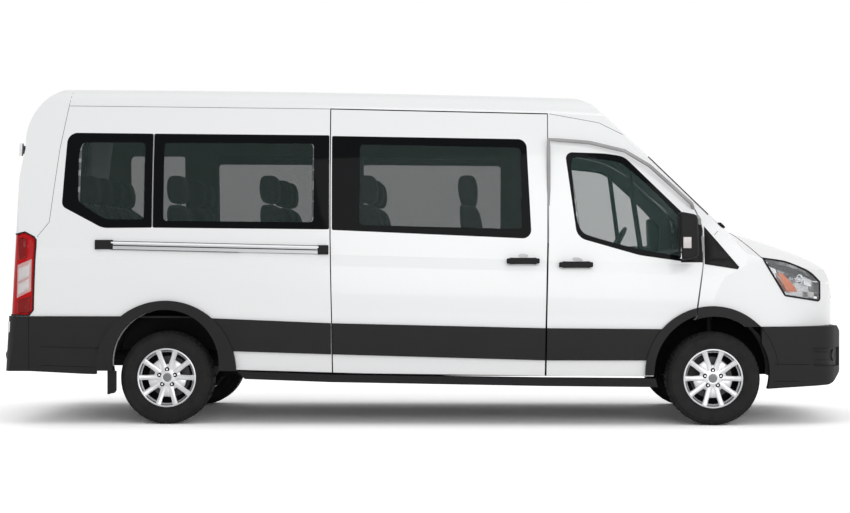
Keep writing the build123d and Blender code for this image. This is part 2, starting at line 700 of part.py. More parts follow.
# ---- grille and wipers ----
with BuildPart() as louvres:
    with Locations(*[(2900, 0, z + 13) for z in (764, 808, 852, 896)]):
        Box(400, 1120, 26)
with BuildPart() as grille:
    add(rind)
    end_cut(grille_outline, 2700, 500, mode=Mode.INTERSECT)
    add(louvres.part, mode=Mode.INTERSECT)
save(grille.part, "grille")
with BuildPart() as wiper:
    add(trim_right)
    end_cut([(-690, 1434), (-80, 1414), (-80, 1430), (-690, 1452)], 1500, 900, mode=Mode.INTERSECT)
save_both(wiper.part, "wipers")

# ---- floor, wheel housings, bulkhead, door posts ----
with BuildPart() as front_housing:
    disc(*front_housing_ring, 548, 850)
    disc(*front_housing_ring[:2], front_housing_ring[2] - 6, 556, 850, mode=Mode.SUBTRACT)
    block(1500, 2600, -900, 0, -100, 340, mode=Mode.SUBTRACT)
    block(1972, 2138, -745, -500, 740, 840, mode=Mode.SUBTRACT)
with BuildPart() as post:
    for height, outside in ((floor_z, 922), (1330, 918), (2200, 806)):
        with BuildSketch(Plane.XY.offset(height)):
            with Locations((884, 22 - outside)):
                Rectangle(90, 40)
    loft(ruled=True)
with BuildPart() as floor:
    block(-2900, 1985, -925, 0, floor_z - 40, floor_z)
    block(-2300, -1420, -945, -690, floor_z - 40, 770)
    block(-2290, -1430, -1000, -700, 300, 760, mode=Mode.SUBTRACT)
    block(1610, 2000, -1000, -560, 400, 640, mode=Mode.SUBTRACT)
    block(1985, 2005, -850, 0, 700, 1240)
    block(1985, 2005, -550, 0, floor_z - 40, 710)
    disc(*front_housing_ring[:2], front_housing_ring[2] - 3, 550, 900, mode=Mode.SUBTRACT)
    add(front_housing.part)
    add(post.part)
    mirror(about=Plane.XZ)
    block(-2040, 800, -405, -25, floor_z, floor_z + 4)  # the aisle's ribbed covering
save(floor.part, "floor_pan")

# ---- chassis ----
with BuildPart() as chassis:
    block(-2900, 2780, -450, -380, 390, 500)
    mirror(about=Plane.XZ)
    for x in (-2860, -1200, -100, 1000, 2640):
        block(x, x + 60, -380, 380, 400, 490)
save(chassis.part, "chassis_frame")

with BuildPart() as subframe:
    block(2025, 2085, -545, -500, 230, 830)
    block(2025, 2085, -725, -500, 800, 830)
    block(2020, 2090, -710, -480, 205, 235)
    block(1990, 2120, -500, 0, 230, 330)
    with BuildSketch(Plane.XY.offset(430)):
        with Locations((front_axle_x, -695)):
            Circle(22)
    extrude(amount=380)
    with BuildSketch(Plane.XY.offset(205)):
        with Locations((front_axle_x, -kingpin_y + 12)):
            Circle(26)
    extrude(amount=30)
save_both(subframe.part, "front_subframe")

with BuildPart() as rear_axle:
    disc(rear_axle_x, tyre_radius, 42, 0, 795)
    bar(leaf_spring, 560, 630)
    block(-1920, -1800, -640, -550, 360, 425)
    block(-2492, -2440, -630, -450, 436, 476)
    block(-1280, -1228, -630, -450, 436, 476)
save_both(rear_axle.part, "rear_axle")
with BuildPart() as engine:
    block(2250, 2740, -290, 290, 510, 980)
with BuildPart() as tank:
    block(-1000, -120, 460, 900, 300, 500)
with BuildPart() as exhaust:
    block(-1560, 1500, -180, -120, 300, 360)
    block(-900, -200, -240, -60, 270, 385)
save(engine.part, "engine_block")
save(tank.part, "fuel_tank")
save(exhaust.part, "exhaust")

# ---- wheels ----
for end, x in (("front", front_axle_x), ("rear", rear_axle_x)):
    save_each(turned(tyre_profile, x), "tyre_" + end + "_{}")
    save_each(rim_at(x), "rim_" + end + "_{}")

with BuildPart() as caliper:
    disc(front_axle_x, tyre_radius, 176, 786, 846)
    disc(front_axle_x, tyre_radius, 104, 780, 850, mode=Mode.SUBTRACT)
    disc(front_axle_x, tyre_radius, 158, 801, 833, mode=Mode.SUBTRACT)
    block(1880, 2000, -850, -780, 300, 480, mode=Mode.INTERSECT)
with BuildPart() as knuckle:
    disc(front_axle_x, tyre_radius, 44, 700, 800)
    disc(front_axle_x, tyre_radius, 120, 784, 798)
    with BuildSketch(Plane.XY.offset(243)):
        with Locations((front_axle_x, -kingpin_y)):
            Circle(26)
    extrude(amount=181)
    add(caliper.part)
save_each(knuckle.part, "knuckle_{}")

# ---- cabin ----
with BuildPart() as dash:
    bar([(1590, 700), (1540, 1060), (1590, 1180, 40), (1930, 1270), (1976, 1200), (1976, 700)], 0, 845)
    disc(*front_housing_ring[:2], front_housing_ring[2] + 8, 540, 900, mode=Mode.SUBTRACT)
    mirror(about=Plane.XZ)
save(dash.part, "dashboard")

steering_hub = (1450, 470, 1260)
column = (-0.86, 0, 0.5)
with BuildPart() as steering:
    with BuildSketch(Plane(origin=steering_hub, x_dir=(0, 1, 0), z_dir=(0.5, 0, 0.86))):
        with Locations((190, 0)):
            Circle(14)
    revolve(axis=Axis(steering_hub, column))
    with BuildSketch(Plane(origin=steering_hub, x_dir=(0, 1, 0), z_dir=column).offset(-8)):
        Rectangle(380, 40)
    extrude(amount=16)
    with BuildSketch(Plane(origin=steering_hub, x_dir=(0, 1, 0), z_dir=column)):
        Circle(30)
    extrude(amount=-140)
    add(dash.part, mode=Mode.SUBTRACT)
save(steering.part, "steering_wheel")

rows = front_rows + rear_rows
save(Compound(children=[seat(*row) for row in front_rows]), "front_seats")
save(Compound(children=[seat(*row) for row in rear_rows]), "passenger_seats")
with BuildPart() as legs:
    for x, y, width in rows:
        block(x + 60, x + 420, y - 20, y + 20, floor_z, 900)
save(legs.part, "seat_legs")
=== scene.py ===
import bpy
import bmesh
import json
from math import atan2, cos, hypot, pi, radians, sin
from mathutils import Matrix, Vector
from mathutils.bvhtree import BVHTree

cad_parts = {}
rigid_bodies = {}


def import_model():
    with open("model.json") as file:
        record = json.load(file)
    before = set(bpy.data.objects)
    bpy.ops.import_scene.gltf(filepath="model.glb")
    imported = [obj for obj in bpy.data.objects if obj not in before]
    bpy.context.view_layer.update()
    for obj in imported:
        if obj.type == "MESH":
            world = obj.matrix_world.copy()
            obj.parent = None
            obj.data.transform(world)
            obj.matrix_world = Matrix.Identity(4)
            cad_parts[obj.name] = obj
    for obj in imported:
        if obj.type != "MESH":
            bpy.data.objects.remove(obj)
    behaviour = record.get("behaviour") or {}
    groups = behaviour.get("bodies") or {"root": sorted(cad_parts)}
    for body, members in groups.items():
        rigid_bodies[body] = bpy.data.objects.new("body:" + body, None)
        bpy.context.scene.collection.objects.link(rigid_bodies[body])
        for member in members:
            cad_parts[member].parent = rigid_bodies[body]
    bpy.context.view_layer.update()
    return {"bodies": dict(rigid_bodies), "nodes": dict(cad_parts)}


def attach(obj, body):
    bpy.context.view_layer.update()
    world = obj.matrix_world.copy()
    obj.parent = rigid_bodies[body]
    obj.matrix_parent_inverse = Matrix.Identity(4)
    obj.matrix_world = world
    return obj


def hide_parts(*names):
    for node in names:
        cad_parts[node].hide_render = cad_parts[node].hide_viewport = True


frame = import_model()
nodes = frame["nodes"]
print("frame loaded:", len(nodes), "nodes")


class Wire:  # wraps a socket, so that shader maths reads as plain expressions
    def __init__(self, finish, socket):
        self.finish = finish
        self.socket = socket

    def math(self, operation, *others, **settings):
        return self.finish.node("ShaderNodeMath", {"operation": operation, **settings}, [self, *others])

    def __add__(self, other):
        return self.math("ADD", other)

    def __mul__(self, other):
        return self.math("MULTIPLY", other)

    def __sub__(self, other):
        return self.math("SUBTRACT", other)

    def __rsub__(self, other):
        return self.finish.node("ShaderNodeMath", {"operation": "SUBTRACT"}, [other, self])

    def __gt__(self, other):
        return self.math("GREATER_THAN", other)

    def __lt__(self, other):
        return self.math("LESS_THAN", other)

    def __abs__(self):
        return self.math("ABSOLUTE")

    def high(self, other):
        return self.math("MAXIMUM", other)

    def clipped(self):
        return self.math("ADD", 0, use_clamp=True)

    def sine(self):
        return self.math("SINE")

    __radd__ = __add__
    __rmul__ = __mul__


class Finish:  # a material, or the world behind it all, and its nodes
    def __init__(self, name, data=None, shader="Principled BSDF", **sockets):
        self.material = data or bpy.data.materials.new(name)
        self.material.use_nodes = True
        self.tree = self.material.node_tree
        self.shader = self.tree.nodes[shader]
        self.set(**sockets)

    def set(self, **sockets):
        for name, value in sockets.items():
            self.join(self.shader.inputs[name.replace("_", " ")], value)
        return self

    def join(self, socket, value):
        if isinstance(value, Wire):
            self.tree.links.new(value.socket, socket)
        elif socket.type == "RGBA":
            socket.default_value = (*value[:3], 1)
        else:
            socket.default_value = value

    def node(self, kind, settings=None, inputs=None, output=0):
        made = self.tree.nodes.new(kind)
        for key, value in (settings or {}).items():
            if key == "stops":
                ramp = made.color_ramp
                while len(ramp.elements) < len(value):
                    ramp.elements.new(0.5)
                for element, (place, color) in zip(ramp.elements, value):
                    element.position = place
                    element.color = (*color[:3], 1)
            else:
                setattr(made, key, value)
        for key, value in (inputs.items() if isinstance(inputs, dict) else enumerate(inputs or [])):
            self.join(made.inputs[key], value)
        return Wire(self, made.outputs[output])

    def place(self, stretch=(1, 1, 1)):  # object coordinates, in metres
        spot = self.node("ShaderNodeTexCoord", output="Object")
        return self.node("ShaderNodeMapping", None, {"Vector": spot, "Scale": stretch})

    def axes(self):
        split = self.node("ShaderNodeSeparateXYZ", None, [self.node("ShaderNodeTexCoord", output="Object")])
        return [Wire(self, split.socket.node.outputs[i]) for i in range(3)]

    def noise(self, scale, detail=3, roughness=0.5, stretch=(1, 1, 1)):
        return self.node("ShaderNodeTexNoise", None, {"Vector": self.place(stretch), "Scale": scale,
                                                      "Detail": detail, "Roughness": roughness})

    def ramp(self, factor, *stops):
        return self.node("ShaderNodeValToRGB", {"stops": stops}, [factor])

    def blend(self, factor, first, second):
        made = self.node("ShaderNodeMix", {"data_type": "RGBA"}, {0: factor, 6: first, 7: second})
        return Wire(self, made.socket.node.outputs[2])

    def bump(self, height, distance=0.001, strength=1.0):
        return self.set(Normal=self.node("ShaderNodeBump", None, {"Height": height, "Distance": distance,
                                                                  "Strength": strength}))

    def clouded(self, cloud, dark, light, spread, lowest):  # colour and gloss drift with a cloud
        self.set(Base_Color=self.ramp(cloud, dark, light))
        return self.set(Roughness=cloud * spread + lowest)


def grey(level):
    return (level, level, level)


def shade(color, share):
    return [min(1, c * share) for c in color]


# finishes: the colours are linear, the distances are metres
paintLook = {"color": (0.87, 0.88, 0.885), "dust": (0.80, 0.80, 0.79), "dustTop": 0.75, "roughness": 0.24,
             "coat": 0.5, "coatRoughness": 0.04}
# the near-black under the floor and in the wheel housings is painted shade
floorLook = {"carpet": 0.035, "paintedUnderShade": 0.004, "aisleHalf": 0.547, "housingTop": 0.765, "footwell": 1.55,
             "floorTop": 0.545}


def makePaint():
    look = paintLook
    finish = Finish("whitePaint", Roughness=look["roughness"], Coat_Weight=look["coat"],
                    Coat_Roughness=look["coatRoughness"])
    height = finish.axes()[2]
    dust = ((look["dustTop"] - height) * 0.9).clipped() * finish.noise(1.6, 4)
    finish.set(Base_Color=finish.blend(dust.clipped(), look["color"], look["dust"]))
    finish.set(Roughness=finish.noise(9, 3) * 0.06 + (look["roughness"] - 0.03))
    return finish.bump(finish.noise(55, 2) * 0.4 + finish.noise(6, 2) * 0.6, 0.0006, 0.25)


def makeGrained(name, color, roughness, grain=420, depth=0.0005, shine=0.5):
    finish = Finish(name, Roughness=roughness, Specular_IOR_Level=shine)
    cells = finish.node("ShaderNodeTexVoronoi", None, {"Vector": finish.place(), "Scale": grain})
    finish.clouded(finish.noise(3.5, 4), (0.3, shade(color, 0.85)), (0.75, shade(color, 1.2)), 0.12,
                   roughness - 0.06)
    return finish.bump(cells + finish.noise(grain * 0.5, 2) * 0.5, depth, 0.35)


def makeGloss(name, color, roughness=0.08, wave=30, shine=0.5):
    finish = Finish(name, Roughness=roughness, Specular_IOR_Level=shine)
    finish.clouded(finish.noise(5, 3), (0.3, shade(color, 0.9)), (0.7, shade(color, 1.1)), 0.05, roughness)
    return finish.bump(finish.noise(wave, 2), 0.0003, 0.1)


def makeMetal(name, color, roughness, brushed=(1, 1, 1), scale=60, strength=0.15):
    finish = Finish(name, Metallic=1.0, Roughness=roughness)
    cloud = finish.noise(scale, 4, 0.6, brushed)
    finish.clouded(cloud, (0.2, shade(color, 0.88)), (0.8, shade(color, 1.08)), 0.15, roughness - 0.07)
    return finish.bump(cloud, 0.0004, strength)


def makeRubber():
    finish = Finish("tyreRubber", Roughness=0.72, Specular_IOR_Level=0.18)
    finish.clouded(finish.noise(14, 5), (0.35, grey(0.009)), (0.8, grey(0.02)), 0.2, 0.6)
    return finish.bump(finish.noise(700, 2) * 0.5 + finish.noise(90, 3), 0.0006, 0.3)


def makeCloth(name, color, threads=2600):
    finish = Finish(name, Roughness=0.9, Sheen_Weight=0.15)
    x, y, z = finish.axes()
    weave = (((x + z) * threads).sine() * ((y - z) * threads).sine()) * 0.5 + 0.5
    cloud = finish.noise(18, 4)
    finish.set(Base_Color=finish.ramp(weave * 0.5 + cloud * 0.5, (0.25, shade(color, 0.72)),
                                      (0.8, shade(color, 1.25))))
    return finish.bump(weave + cloud * 0.6, 0.0008, 0.5)


def makeGlass(name, tint, alpha):
    finish = Finish(name, Base_Color=tint, Roughness=0.02, Alpha=alpha)
    film = finish.noise(2.2, 3)
    return finish.set(Roughness=film * 0.03 + 0.01, Alpha=film * 0.05 + (alpha - 0.025))


def makeFloorCover():  # carpet inside; near-black in the wheel housings and underneath, painted shade of the arches and the underside
    look = floorLook
    finish = makeCloth("carpet", grey(look["carpet"]))
    x, y, z = finish.axes()
    housing = (abs(y) > look["aisleHalf"]) * ((x > look["footwell"]).high(z < look["housingTop"]))
    inside = (z > look["floorTop"]) * (1 - housing)
    return finish.set(Base_Color=finish.blend(inside, grey(look["paintedUnderShade"]), grey(look["carpet"])),
                      Specular_IOR_Level=0.1)


whitePaint = makePaint()
carpet = makeFloorCover()
darkPlastic = makeGrained("darkPlastic", (0.0125, 0.0125, 0.013), 0.6, shine=0.2)
softBlack = makeGrained("softBlack", (0.008, 0.008, 0.0085), 0.6, 300, shine=0.2)
sealRubber = makeGrained("sealRubber", grey(0.005), 0.7, 200, shine=0.15)
# grey, not black rubber: painted shade of the body-colour frame in the door gap
gapPaintedShade = makeGrained("gapPaintedShade", grey(0.34), 0.7, 200, shine=0.15)
seamDark = makeGrained("seamDark", (0.03, 0.03, 0.031), 0.8, 200)
trimGrey = makeGrained("cabinTrim", (0.11, 0.112, 0.114), 0.85, 250, 0.0002, 0.2)
dashPlastic = makeGrained("dashPlastic", (0.03, 0.031, 0.033), 0.65, 320)
underPaint = makeGrained("chassisPaint", (0.006, 0.006, 0.0065), 0.6, 160, 0.0008, 0.15)
glossBlack = makeGloss("glassBorder", (0.008, 0.009, 0.01), 0.06)
amber = makeGloss("amberLens", (0.85, 0.2, 0.04), 0.12, shine=0.3)
redLens = makeGloss("redLens", (0.50, 0.005, 0.007), 0.12, shine=0.1)
darkRed = makeGloss("darkRed", (0.24, 0.003, 0.004), 0.12, shine=0.2)
lampCream = makeGloss("lampCream", (0.72, 0.70, 0.66), 0.3)
lampWhite = makeGloss("lampWhite", (0.66, 0.62, 0.61), 0.15)
lampPink = makeGloss("lampPink", (0.62, 0.36, 0.35), 0.15)
capGrey = makeGloss("capGrey", (0.2, 0.205, 0.21), 0.3)
# body white darkened: painted shade in the handle recesses
recessPaintedShade = makeGloss("recessPaintedShade", (0.60, 0.61, 0.615), 0.3)
lampGrey = makeMetal("lampGrey", (0.72, 0.73, 0.75), 0.22, scale=30, strength=0.1)
chrome = makeMetal("lampChrome", (0.85, 0.86, 0.88), 0.12)
mirrorSilver = makeMetal("mirrorSilver", (0.86, 0.88, 0.9), 0.08, scale=4, strength=0.02)
alloySilver = makeMetal("alloySilver", (0.56, 0.565, 0.575), 0.36, scale=40, strength=0.1)
railMetal = makeMetal("railMetal", (0.42, 0.425, 0.43), 0.4, (0.3, 1, 8), 80, 0.05)
# a lighter copy of the rail metal: painted highlight along the rail's top
railPaintedHighlight = makeMetal("railPaintedHighlight", (0.8, 0.81, 0.82), 0.3, (0.3, 1, 8), 80, 0.05)
castMetal = makeMetal("castMetal", (0.05, 0.05, 0.052), 0.6, scale=220, strength=0.4)
# steel darkened below its own colour: painted shade behind the spokes
discSteelPaintedShade = makeMetal("discSteelPaintedShade", (0.1, 0.1, 0.105), 0.5, (1, 1, 1), 120)
tyreRubber = makeRubber()
seatCloth = makeCloth("seatCloth", (0.03, 0.032, 0.036))
lensGlass = makeGlass("lampLens", (0.5, 0.52, 0.54), 0.16)
print("finishes made")

sides = (("Right", False), ("Left", True))  # the left-hand piece is the right-hand one, mirrored


def made(mesh, name, finish, body="body", slot=None, replaces=(), smooth=38, mirrored=False):
    if isinstance(mesh, bmesh.types.BMesh):
        source = mesh
        mesh = bpy.data.meshes.new(name)
        source.to_mesh(mesh)
        source.free()
    if mirrored:
        mesh.transform(Matrix.Scale(-1, 4, (0, 1, 0)))
        mesh.flip_normals()
    if smooth:
        mesh.shade_smooth()
        mesh.set_sharp_from_angle(angle=radians(smooth))
    piece = bpy.data.objects.new(name, mesh)
    bpy.context.collection.objects.link(piece)
    mesh.materials.append(finish.material)
    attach(piece, body)
    if replaces:
        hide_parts(*replaces)
    return piece


def modifier(piece, kind, **settings):
    added = piece.modifiers.new(kind.title(), kind)
    for key, value in settings.items():
        setattr(added, key, value)


def joined(*parts):
    whole = bmesh.new()
    for part in parts:
        mesh = bpy.data.meshes.new("part")
        part.to_mesh(mesh)
        part.free()
        whole.from_mesh(mesh)
        bpy.data.meshes.remove(mesh)
    return whole


def rounded(bm, edges, width, segments):
    bmesh.ops.bevel(bm, geom=edges, offset=width, segments=segments, affect="EDGES", profile=0.5, material=-1)


def block(low, high, bevel=0.0, segments=2):
    bm = bmesh.new()
    size = Vector(high) - Vector(low)
    middle = (Vector(high) + Vector(low)) / 2
    bmesh.ops.create_cube(bm, size=1, matrix=Matrix.Translation(middle) @ Matrix.Diagonal((*size, 1)))
    if bevel:
        rounded(bm, bm.edges[:], bevel, segments)
    return bm


def spun(profile, centre, axis=(0, 1, 0), steps=48, closed=True):  # profile: (radius, distance along axis)
    bm = bmesh.new()
    along = Vector(axis).normalized()
    across = along.orthogonal().normalized()
    verts = [bm.verts.new(Vector(centre) + across * r + along * d) for r, d in profile]
    edges = [bm.edges.new(pair) for pair in zip(verts, verts[1:] + verts[:1] if closed else verts[1:])]
    bmesh.ops.spin(bm, geom=verts + edges, cent=centre, axis=along, angle=2 * pi, steps=steps, use_merge=True)
    bmesh.ops.remove_doubles(bm, verts=bm.verts[:], dist=1e-6)
    bmesh.ops.recalc_face_normals(bm, faces=bm.faces[:])
    return bm


def copied(names, keep):  # the faces of CAD nodes that pass a test on centre and normal
    bm = bmesh.new()
    for name in names:
        bm.from_mesh(nodes[name].data)
    bmesh.ops.remove_doubles(bm, verts=bm.verts[:], dist=1e-5)
    bm.normal_update()
    drop = [face for face in bm.faces if not keep(face.calc_center_median(), face.normal)]
    bmesh.ops.delete(bm, geom=drop, context="FACES")
    return bm


def swollen(bm, distance):  # every point moved along its normal
    bm.normal_update()
    for vert in bm.verts:
        vert.co += vert.normal * distance
    return bm


def cutBy(bm, spot, away):  # what lies beyond a plane is cleared
    bmesh.ops.bisect_plane(bm, geom=bm.verts[:] + bm.edges[:] + bm.faces[:], plane_co=spot, plane_no=away,
                           clear_outer=True, dist=1e-6)


def skinTree(*names):
    bm = copied(names, lambda c, n: True)
    tree = BVHTree.FromBMesh(bm)
    bm.free()
    return tree


def onSkin(tree, x, z):  # the point of the right-hand skin at x, z
    hit = tree.ray_cast(Vector((x, -1.5, z)), Vector((0, 1, 0)), 3)[0]
    return hit if hit else Vector((x, -1, z))


def endSkin(tree, y, z, direction):  # the point of the skin seen from the front (1) or the rear (-1)
    return tree.ray_cast(Vector((direction * 4, y, z)), Vector((-direction, 0, 0)), 4)[0]


def outwardEdges(outline):  # a point and the outward direction of each edge of a convex outline
    spots = [Vector(p) for p in outline]
    middle = sum(spots, Vector((0, 0))) / len(spots)
    for first, second in zip(spots, spots[1:] + spots[:1]):
        away = Vector((second.y - first.y, first.x - second.x)).normalized()
        yield first, (-away if away.dot(middle - first) > 0 else away)


def patch(names, outline, lift):  # the right-hand skin inside a convex outline
    bm = copied(names, lambda c, n: n.y < -0.2 and c.y < 0)
    for spot, away in outwardEdges(outline):
        cutBy(bm, (spot.x, 0, spot.y), (away.x, 0, away.y))
    return swollen(bm, lift)


def bead(points, radius, name, finish, body="body", slot="black_plastic", cyclic=False, mirrored=False):
    curve = bpy.data.curves.new(name, "CURVE")
    curve.dimensions = "3D"
    curve.bevel_depth = radius
    curve.bevel_resolution = 1
    curve.use_fill_caps = True
    spline = curve.splines.new("POLY")
    spline.points.add(len(points) - 1)
    for place, point in zip(spline.points, points):
        place.co = (*point, 1)
    spline.use_cyclic_u = cyclic
    holder = bpy.data.objects.new(name + "Path", curve)
    mesh = bpy.data.meshes.new_from_object(holder)
    bpy.data.objects.remove(holder)
    return made(mesh, name, finish, body, slot, mirrored=mirrored)


def traced(tree, outline, step=0.03, sink=0.0):  # points along a line on the right-hand skin
    spots = []
    for (x0, z0), (x1, z1) in zip(outline, outline[1:]):
        count = max(1, int(hypot(x1 - x0, z1 - z0) / step))
        spots += [(x0 + (x1 - x0) * i / count, z0 + (z1 - z0) * i / count) for i in range(count)]
    spots.append(outline[-1])
    return [onSkin(tree, x, z) + Vector((0, sink, 0)) for x, z in spots]


def dress(finish, *names):  # a better material on CAD nodes
    for name in names:
        for place in nodes[name].material_slots:
            place.material = finish.material


# window glass with its printed border: convex outlines seen from the side, or from the end for the screens
windowLook = {
    "tint": (0.034, 0.050, 0.046), "alpha": 0.40, "doorTint": (0.055, 0.098, 0.09),
    "screenTint": (0.05, 0.08, 0.075), "clearAlpha": 0.24, "border": (0.003, 0.0035, 0.004), "corner": 0.045,
    "quarter": [(-2.497, 1.975), (-2.470, 2.029), (-2.018, 2.026), (-2.018, 1.470), (-2.300, 1.470),
                (-2.497, 1.600)],
    "middle": [(-1.880, 2.024), (-0.800, 2.016), (-0.800, 1.450), (-1.880, 1.460)],
    "door": [(-0.470, 2.010), (0.682, 1.984), (0.692, 1.400), (-0.470, 1.430)],
    "leftMiddle": [(-1.750, 1.962), (-0.866, 1.956), (-0.866, 1.456), (-1.750, 1.466)],
    "leftFront": [(-0.560, 1.956), (0.566, 1.944), (0.566, 1.410), (-0.560, 1.438)],
    "frontDoor": [(1.040, 1.893), (1.058, 1.918), (1.250, 1.908), (1.400, 1.882), (1.500, 1.806),
                  (1.810, 1.500), (1.856, 1.425), (1.852, 1.203), (1.535, 1.248), (1.262, 1.318),
                  (1.130, 1.362), (1.086, 1.434)],
    "screen": [(-0.66, 1.955), (0.66, 1.955), (0.80, 1.47), (-0.80, 1.47)],
    "rearDoor": [(0.745, 1.47), (0.745, 1.70), (0.665, 2.09), (0.14, 2.09), (0.14, 1.47)],
}


def makeWindow(name, outlines, tint, alpha, fromEnd=False):
    finish = Finish(name, Roughness=0.03, Specular_IOR_Level=0.05)
    x, y, z = finish.axes()
    across = y if fromEnd else x
    seen = 0
    for outline in outlines:
        worst = None
        for spot, away in outwardEdges(outline):
            past = across * away.x + z * away.y - away.dot(spot)
            worst = past if worst is None else worst.math("SMOOTH_MAX", past, windowLook["corner"])
        seen = (worst * -400 + 0.5).clipped() + seen
    seen = seen.clipped()
    finish.set(Base_Color=finish.blend(seen, windowLook["border"], tint))
    return finish.set(Alpha=1 - seen * (finish.noise(1.8, 3) * 0.03 + (0.985 - alpha)))


tint, alpha, clearAlpha = windowLook["tint"], windowLook["alpha"], windowLook["clearAlpha"]
rearOutlines = [[(side * y, z) for y, z in windowLook["rearDoor"]] for side in (-1, 1)]
sideWindow = makeWindow("sideGlass", [windowLook[k] for k in ("quarter", "middle", "door")], tint, alpha)
leftWindow = makeWindow("leftSideGlass", [windowLook[k] for k in ("quarter", "leftMiddle", "leftFront")],
                        tint, alpha)
doorWindow = makeWindow("frontDoorGlass", [windowLook["frontDoor"]], windowLook["doorTint"], clearAlpha)
screenWindow = makeWindow("screenGlass", [windowLook["screen"]], windowLook["screenTint"], clearAlpha, True)
rearWindow = makeWindow("rearGlass", rearOutlines, tint, alpha, True)

painted = ["roof_panel", "side_panel_right", "side_panel_left", "rear_frame", "cab_frame", "wing_right",
           "wing_left", "front_fascia", "bonnet", "sliding_door", "front_door_right", "front_door_left",
           "rear_door_right", "rear_door_left"]
dress(whitePaint, *painted)
dress(darkPlastic, "side_trim", "sliding_door_trim", "front_door_right_trim", "front_door_left_trim",
      "front_bumper", "rear_bumper")
dress(softBlack, "sills", "grille", "mud_flaps", "wipers", "front_door_right_mirror",
      "front_door_left_mirror")
dress(railMetal, "slide_rail")
dress(sideWindow, "side_glass_right", "sliding_door_glass")
dress(leftWindow, "side_glass_left")
dress(doorWindow, "front_door_right_glass", "front_door_left_glass")
dress(screenWindow, "windscreen")
dress(rearWindow, "rear_door_right_glass", "rear_door_left_glass")
dress(underPaint, "chassis_frame", "front_subframe", "rear_axle", "fuel_tank", "seat_legs", "exhaust")
dress(carpet, "floor_pan")
dress(castMetal, "engine_block", "knuckle_right", "knuckle_left")
dress(dashPlastic, "dashboard")

# cabin lining: the faces that look inwards, and the edges of the window openings
liningLook = {
    "lift": 0.003, "lowest": 0.5, "facing": 0.35, "endWall": 2.6, "jambTurn": 0.3,
    "jambs": {"quarter": 0.05, "middle": 0.05, "door": 0.05, "leftMiddle": 0.10, "leftFront": 0.10,
              "frontDoor": 0.035},
}


def isJamb(c, n):
    spot = Vector((c.x, c.z))
    return abs(n.y) < liningLook["jambTurn"] and any(
        max(away.dot(spot - first) for first, away in outwardEdges(windowLook[window])) < reach
        for window, reach in liningLook["jambs"].items())


def isInside(c, n):
    inward = Vector((0 if abs(c.x) < liningLook["endWall"] else -c.x, -c.y, 1.1 - c.z * 0.9)).normalized()
    return c.z > liningLook["lowest"] and n.dot(inward) > liningLook["facing"]


for name in painted:
    if name in ("bonnet", "wing_right", "wing_left", "front_fascia"):
        continue
    jambed = name.startswith(("side_panel", "sliding_door", "front_door"))
    lining = copied([name], lambda c, n: isInside(c, n) or (jambed and isJamb(c, n)))
    if lining.faces:
        body = name if name in frame["bodies"] else "body"
        made(swollen(lining, liningLook["lift"]), name + "Lining", trimGrey, body, "seat_fabric")
print("cabin lined")

# wheels: profiles are (radius, distance), a zone is the least radius and from and to beside the middle
wheelPlaces = {"Front": 2.055, "Rear": -1.860}
tyreLook = {
    "radius": 0.333, "outer": 0.980, "width": 0.225, "steps": 96, "groove": 0.008,
    "grooves": (-0.056, -0.019, 0.019, 0.056), "grooveHalf": (0.0055, 0.004),
    "wall": [(0.2135, 0.100), (0.219, 0.105), (0.226, 0.1035), (0.236, 0.1075), (0.252, 0.1115),
             (0.275, 0.1125), (0.292, 0.1105), (0.296, 0.1115), (0.300, 0.1085), (0.314, 0.103),
             (0.3255, 0.0935), (0.331, 0.0845)],
    "lugs": {"zone": (0.318, 0.070, 0.1), "every": 2, "depth": 0.0028},
    "ribs": {"zone": (0.3315, -0.001, 0.066), "every": 3, "depth": 0.003},
    "inset": 0.0022,
}


def rides(end, label):
    return f"wheel_{end.lower()}_{label.lower()}"


def tyreProfile(look):
    top = look["radius"]
    wide, narrow = look["grooveHalf"]
    crown = []
    for middle in look["grooves"]:
        crown += [(top, middle - wide), (top - look["groove"], middle - narrow),
                  (top - look["groove"], middle + narrow), (top, middle + wide)]
    return [(r, -d) for r, d in look["wall"]] + crown + look["wall"][::-1]


def makeTyre(end, label, side):
    look = tyreLook
    centre = Vector((wheelPlaces[end], side * (look["outer"] - look["width"] / 2), look["radius"]))
    bm = spun(tyreProfile(look), centre, steps=look["steps"])
    for tread in (look["lugs"], look["ribs"]):
        least, inner, outer = tread["zone"]
        pressed = []
        for face in bm.faces:
            c = face.calc_center_median() - centre
            turn = int(atan2(c.z, c.x) / (2 * pi) * look["steps"] + look["steps"])
            if hypot(c.x, c.z) > least and inner < abs(c.y) < outer and turn % tread["every"] == 0:
                pressed.append(face)
        bmesh.ops.inset_individual(bm, faces=pressed, thickness=look["inset"], depth=-tread["depth"])
    made(bm, f"tyre{end}{label}", tyreRubber, rides(end, label), "tyre",
         [f"tyre_{end.lower()}_{label.lower()}"], smooth=32)


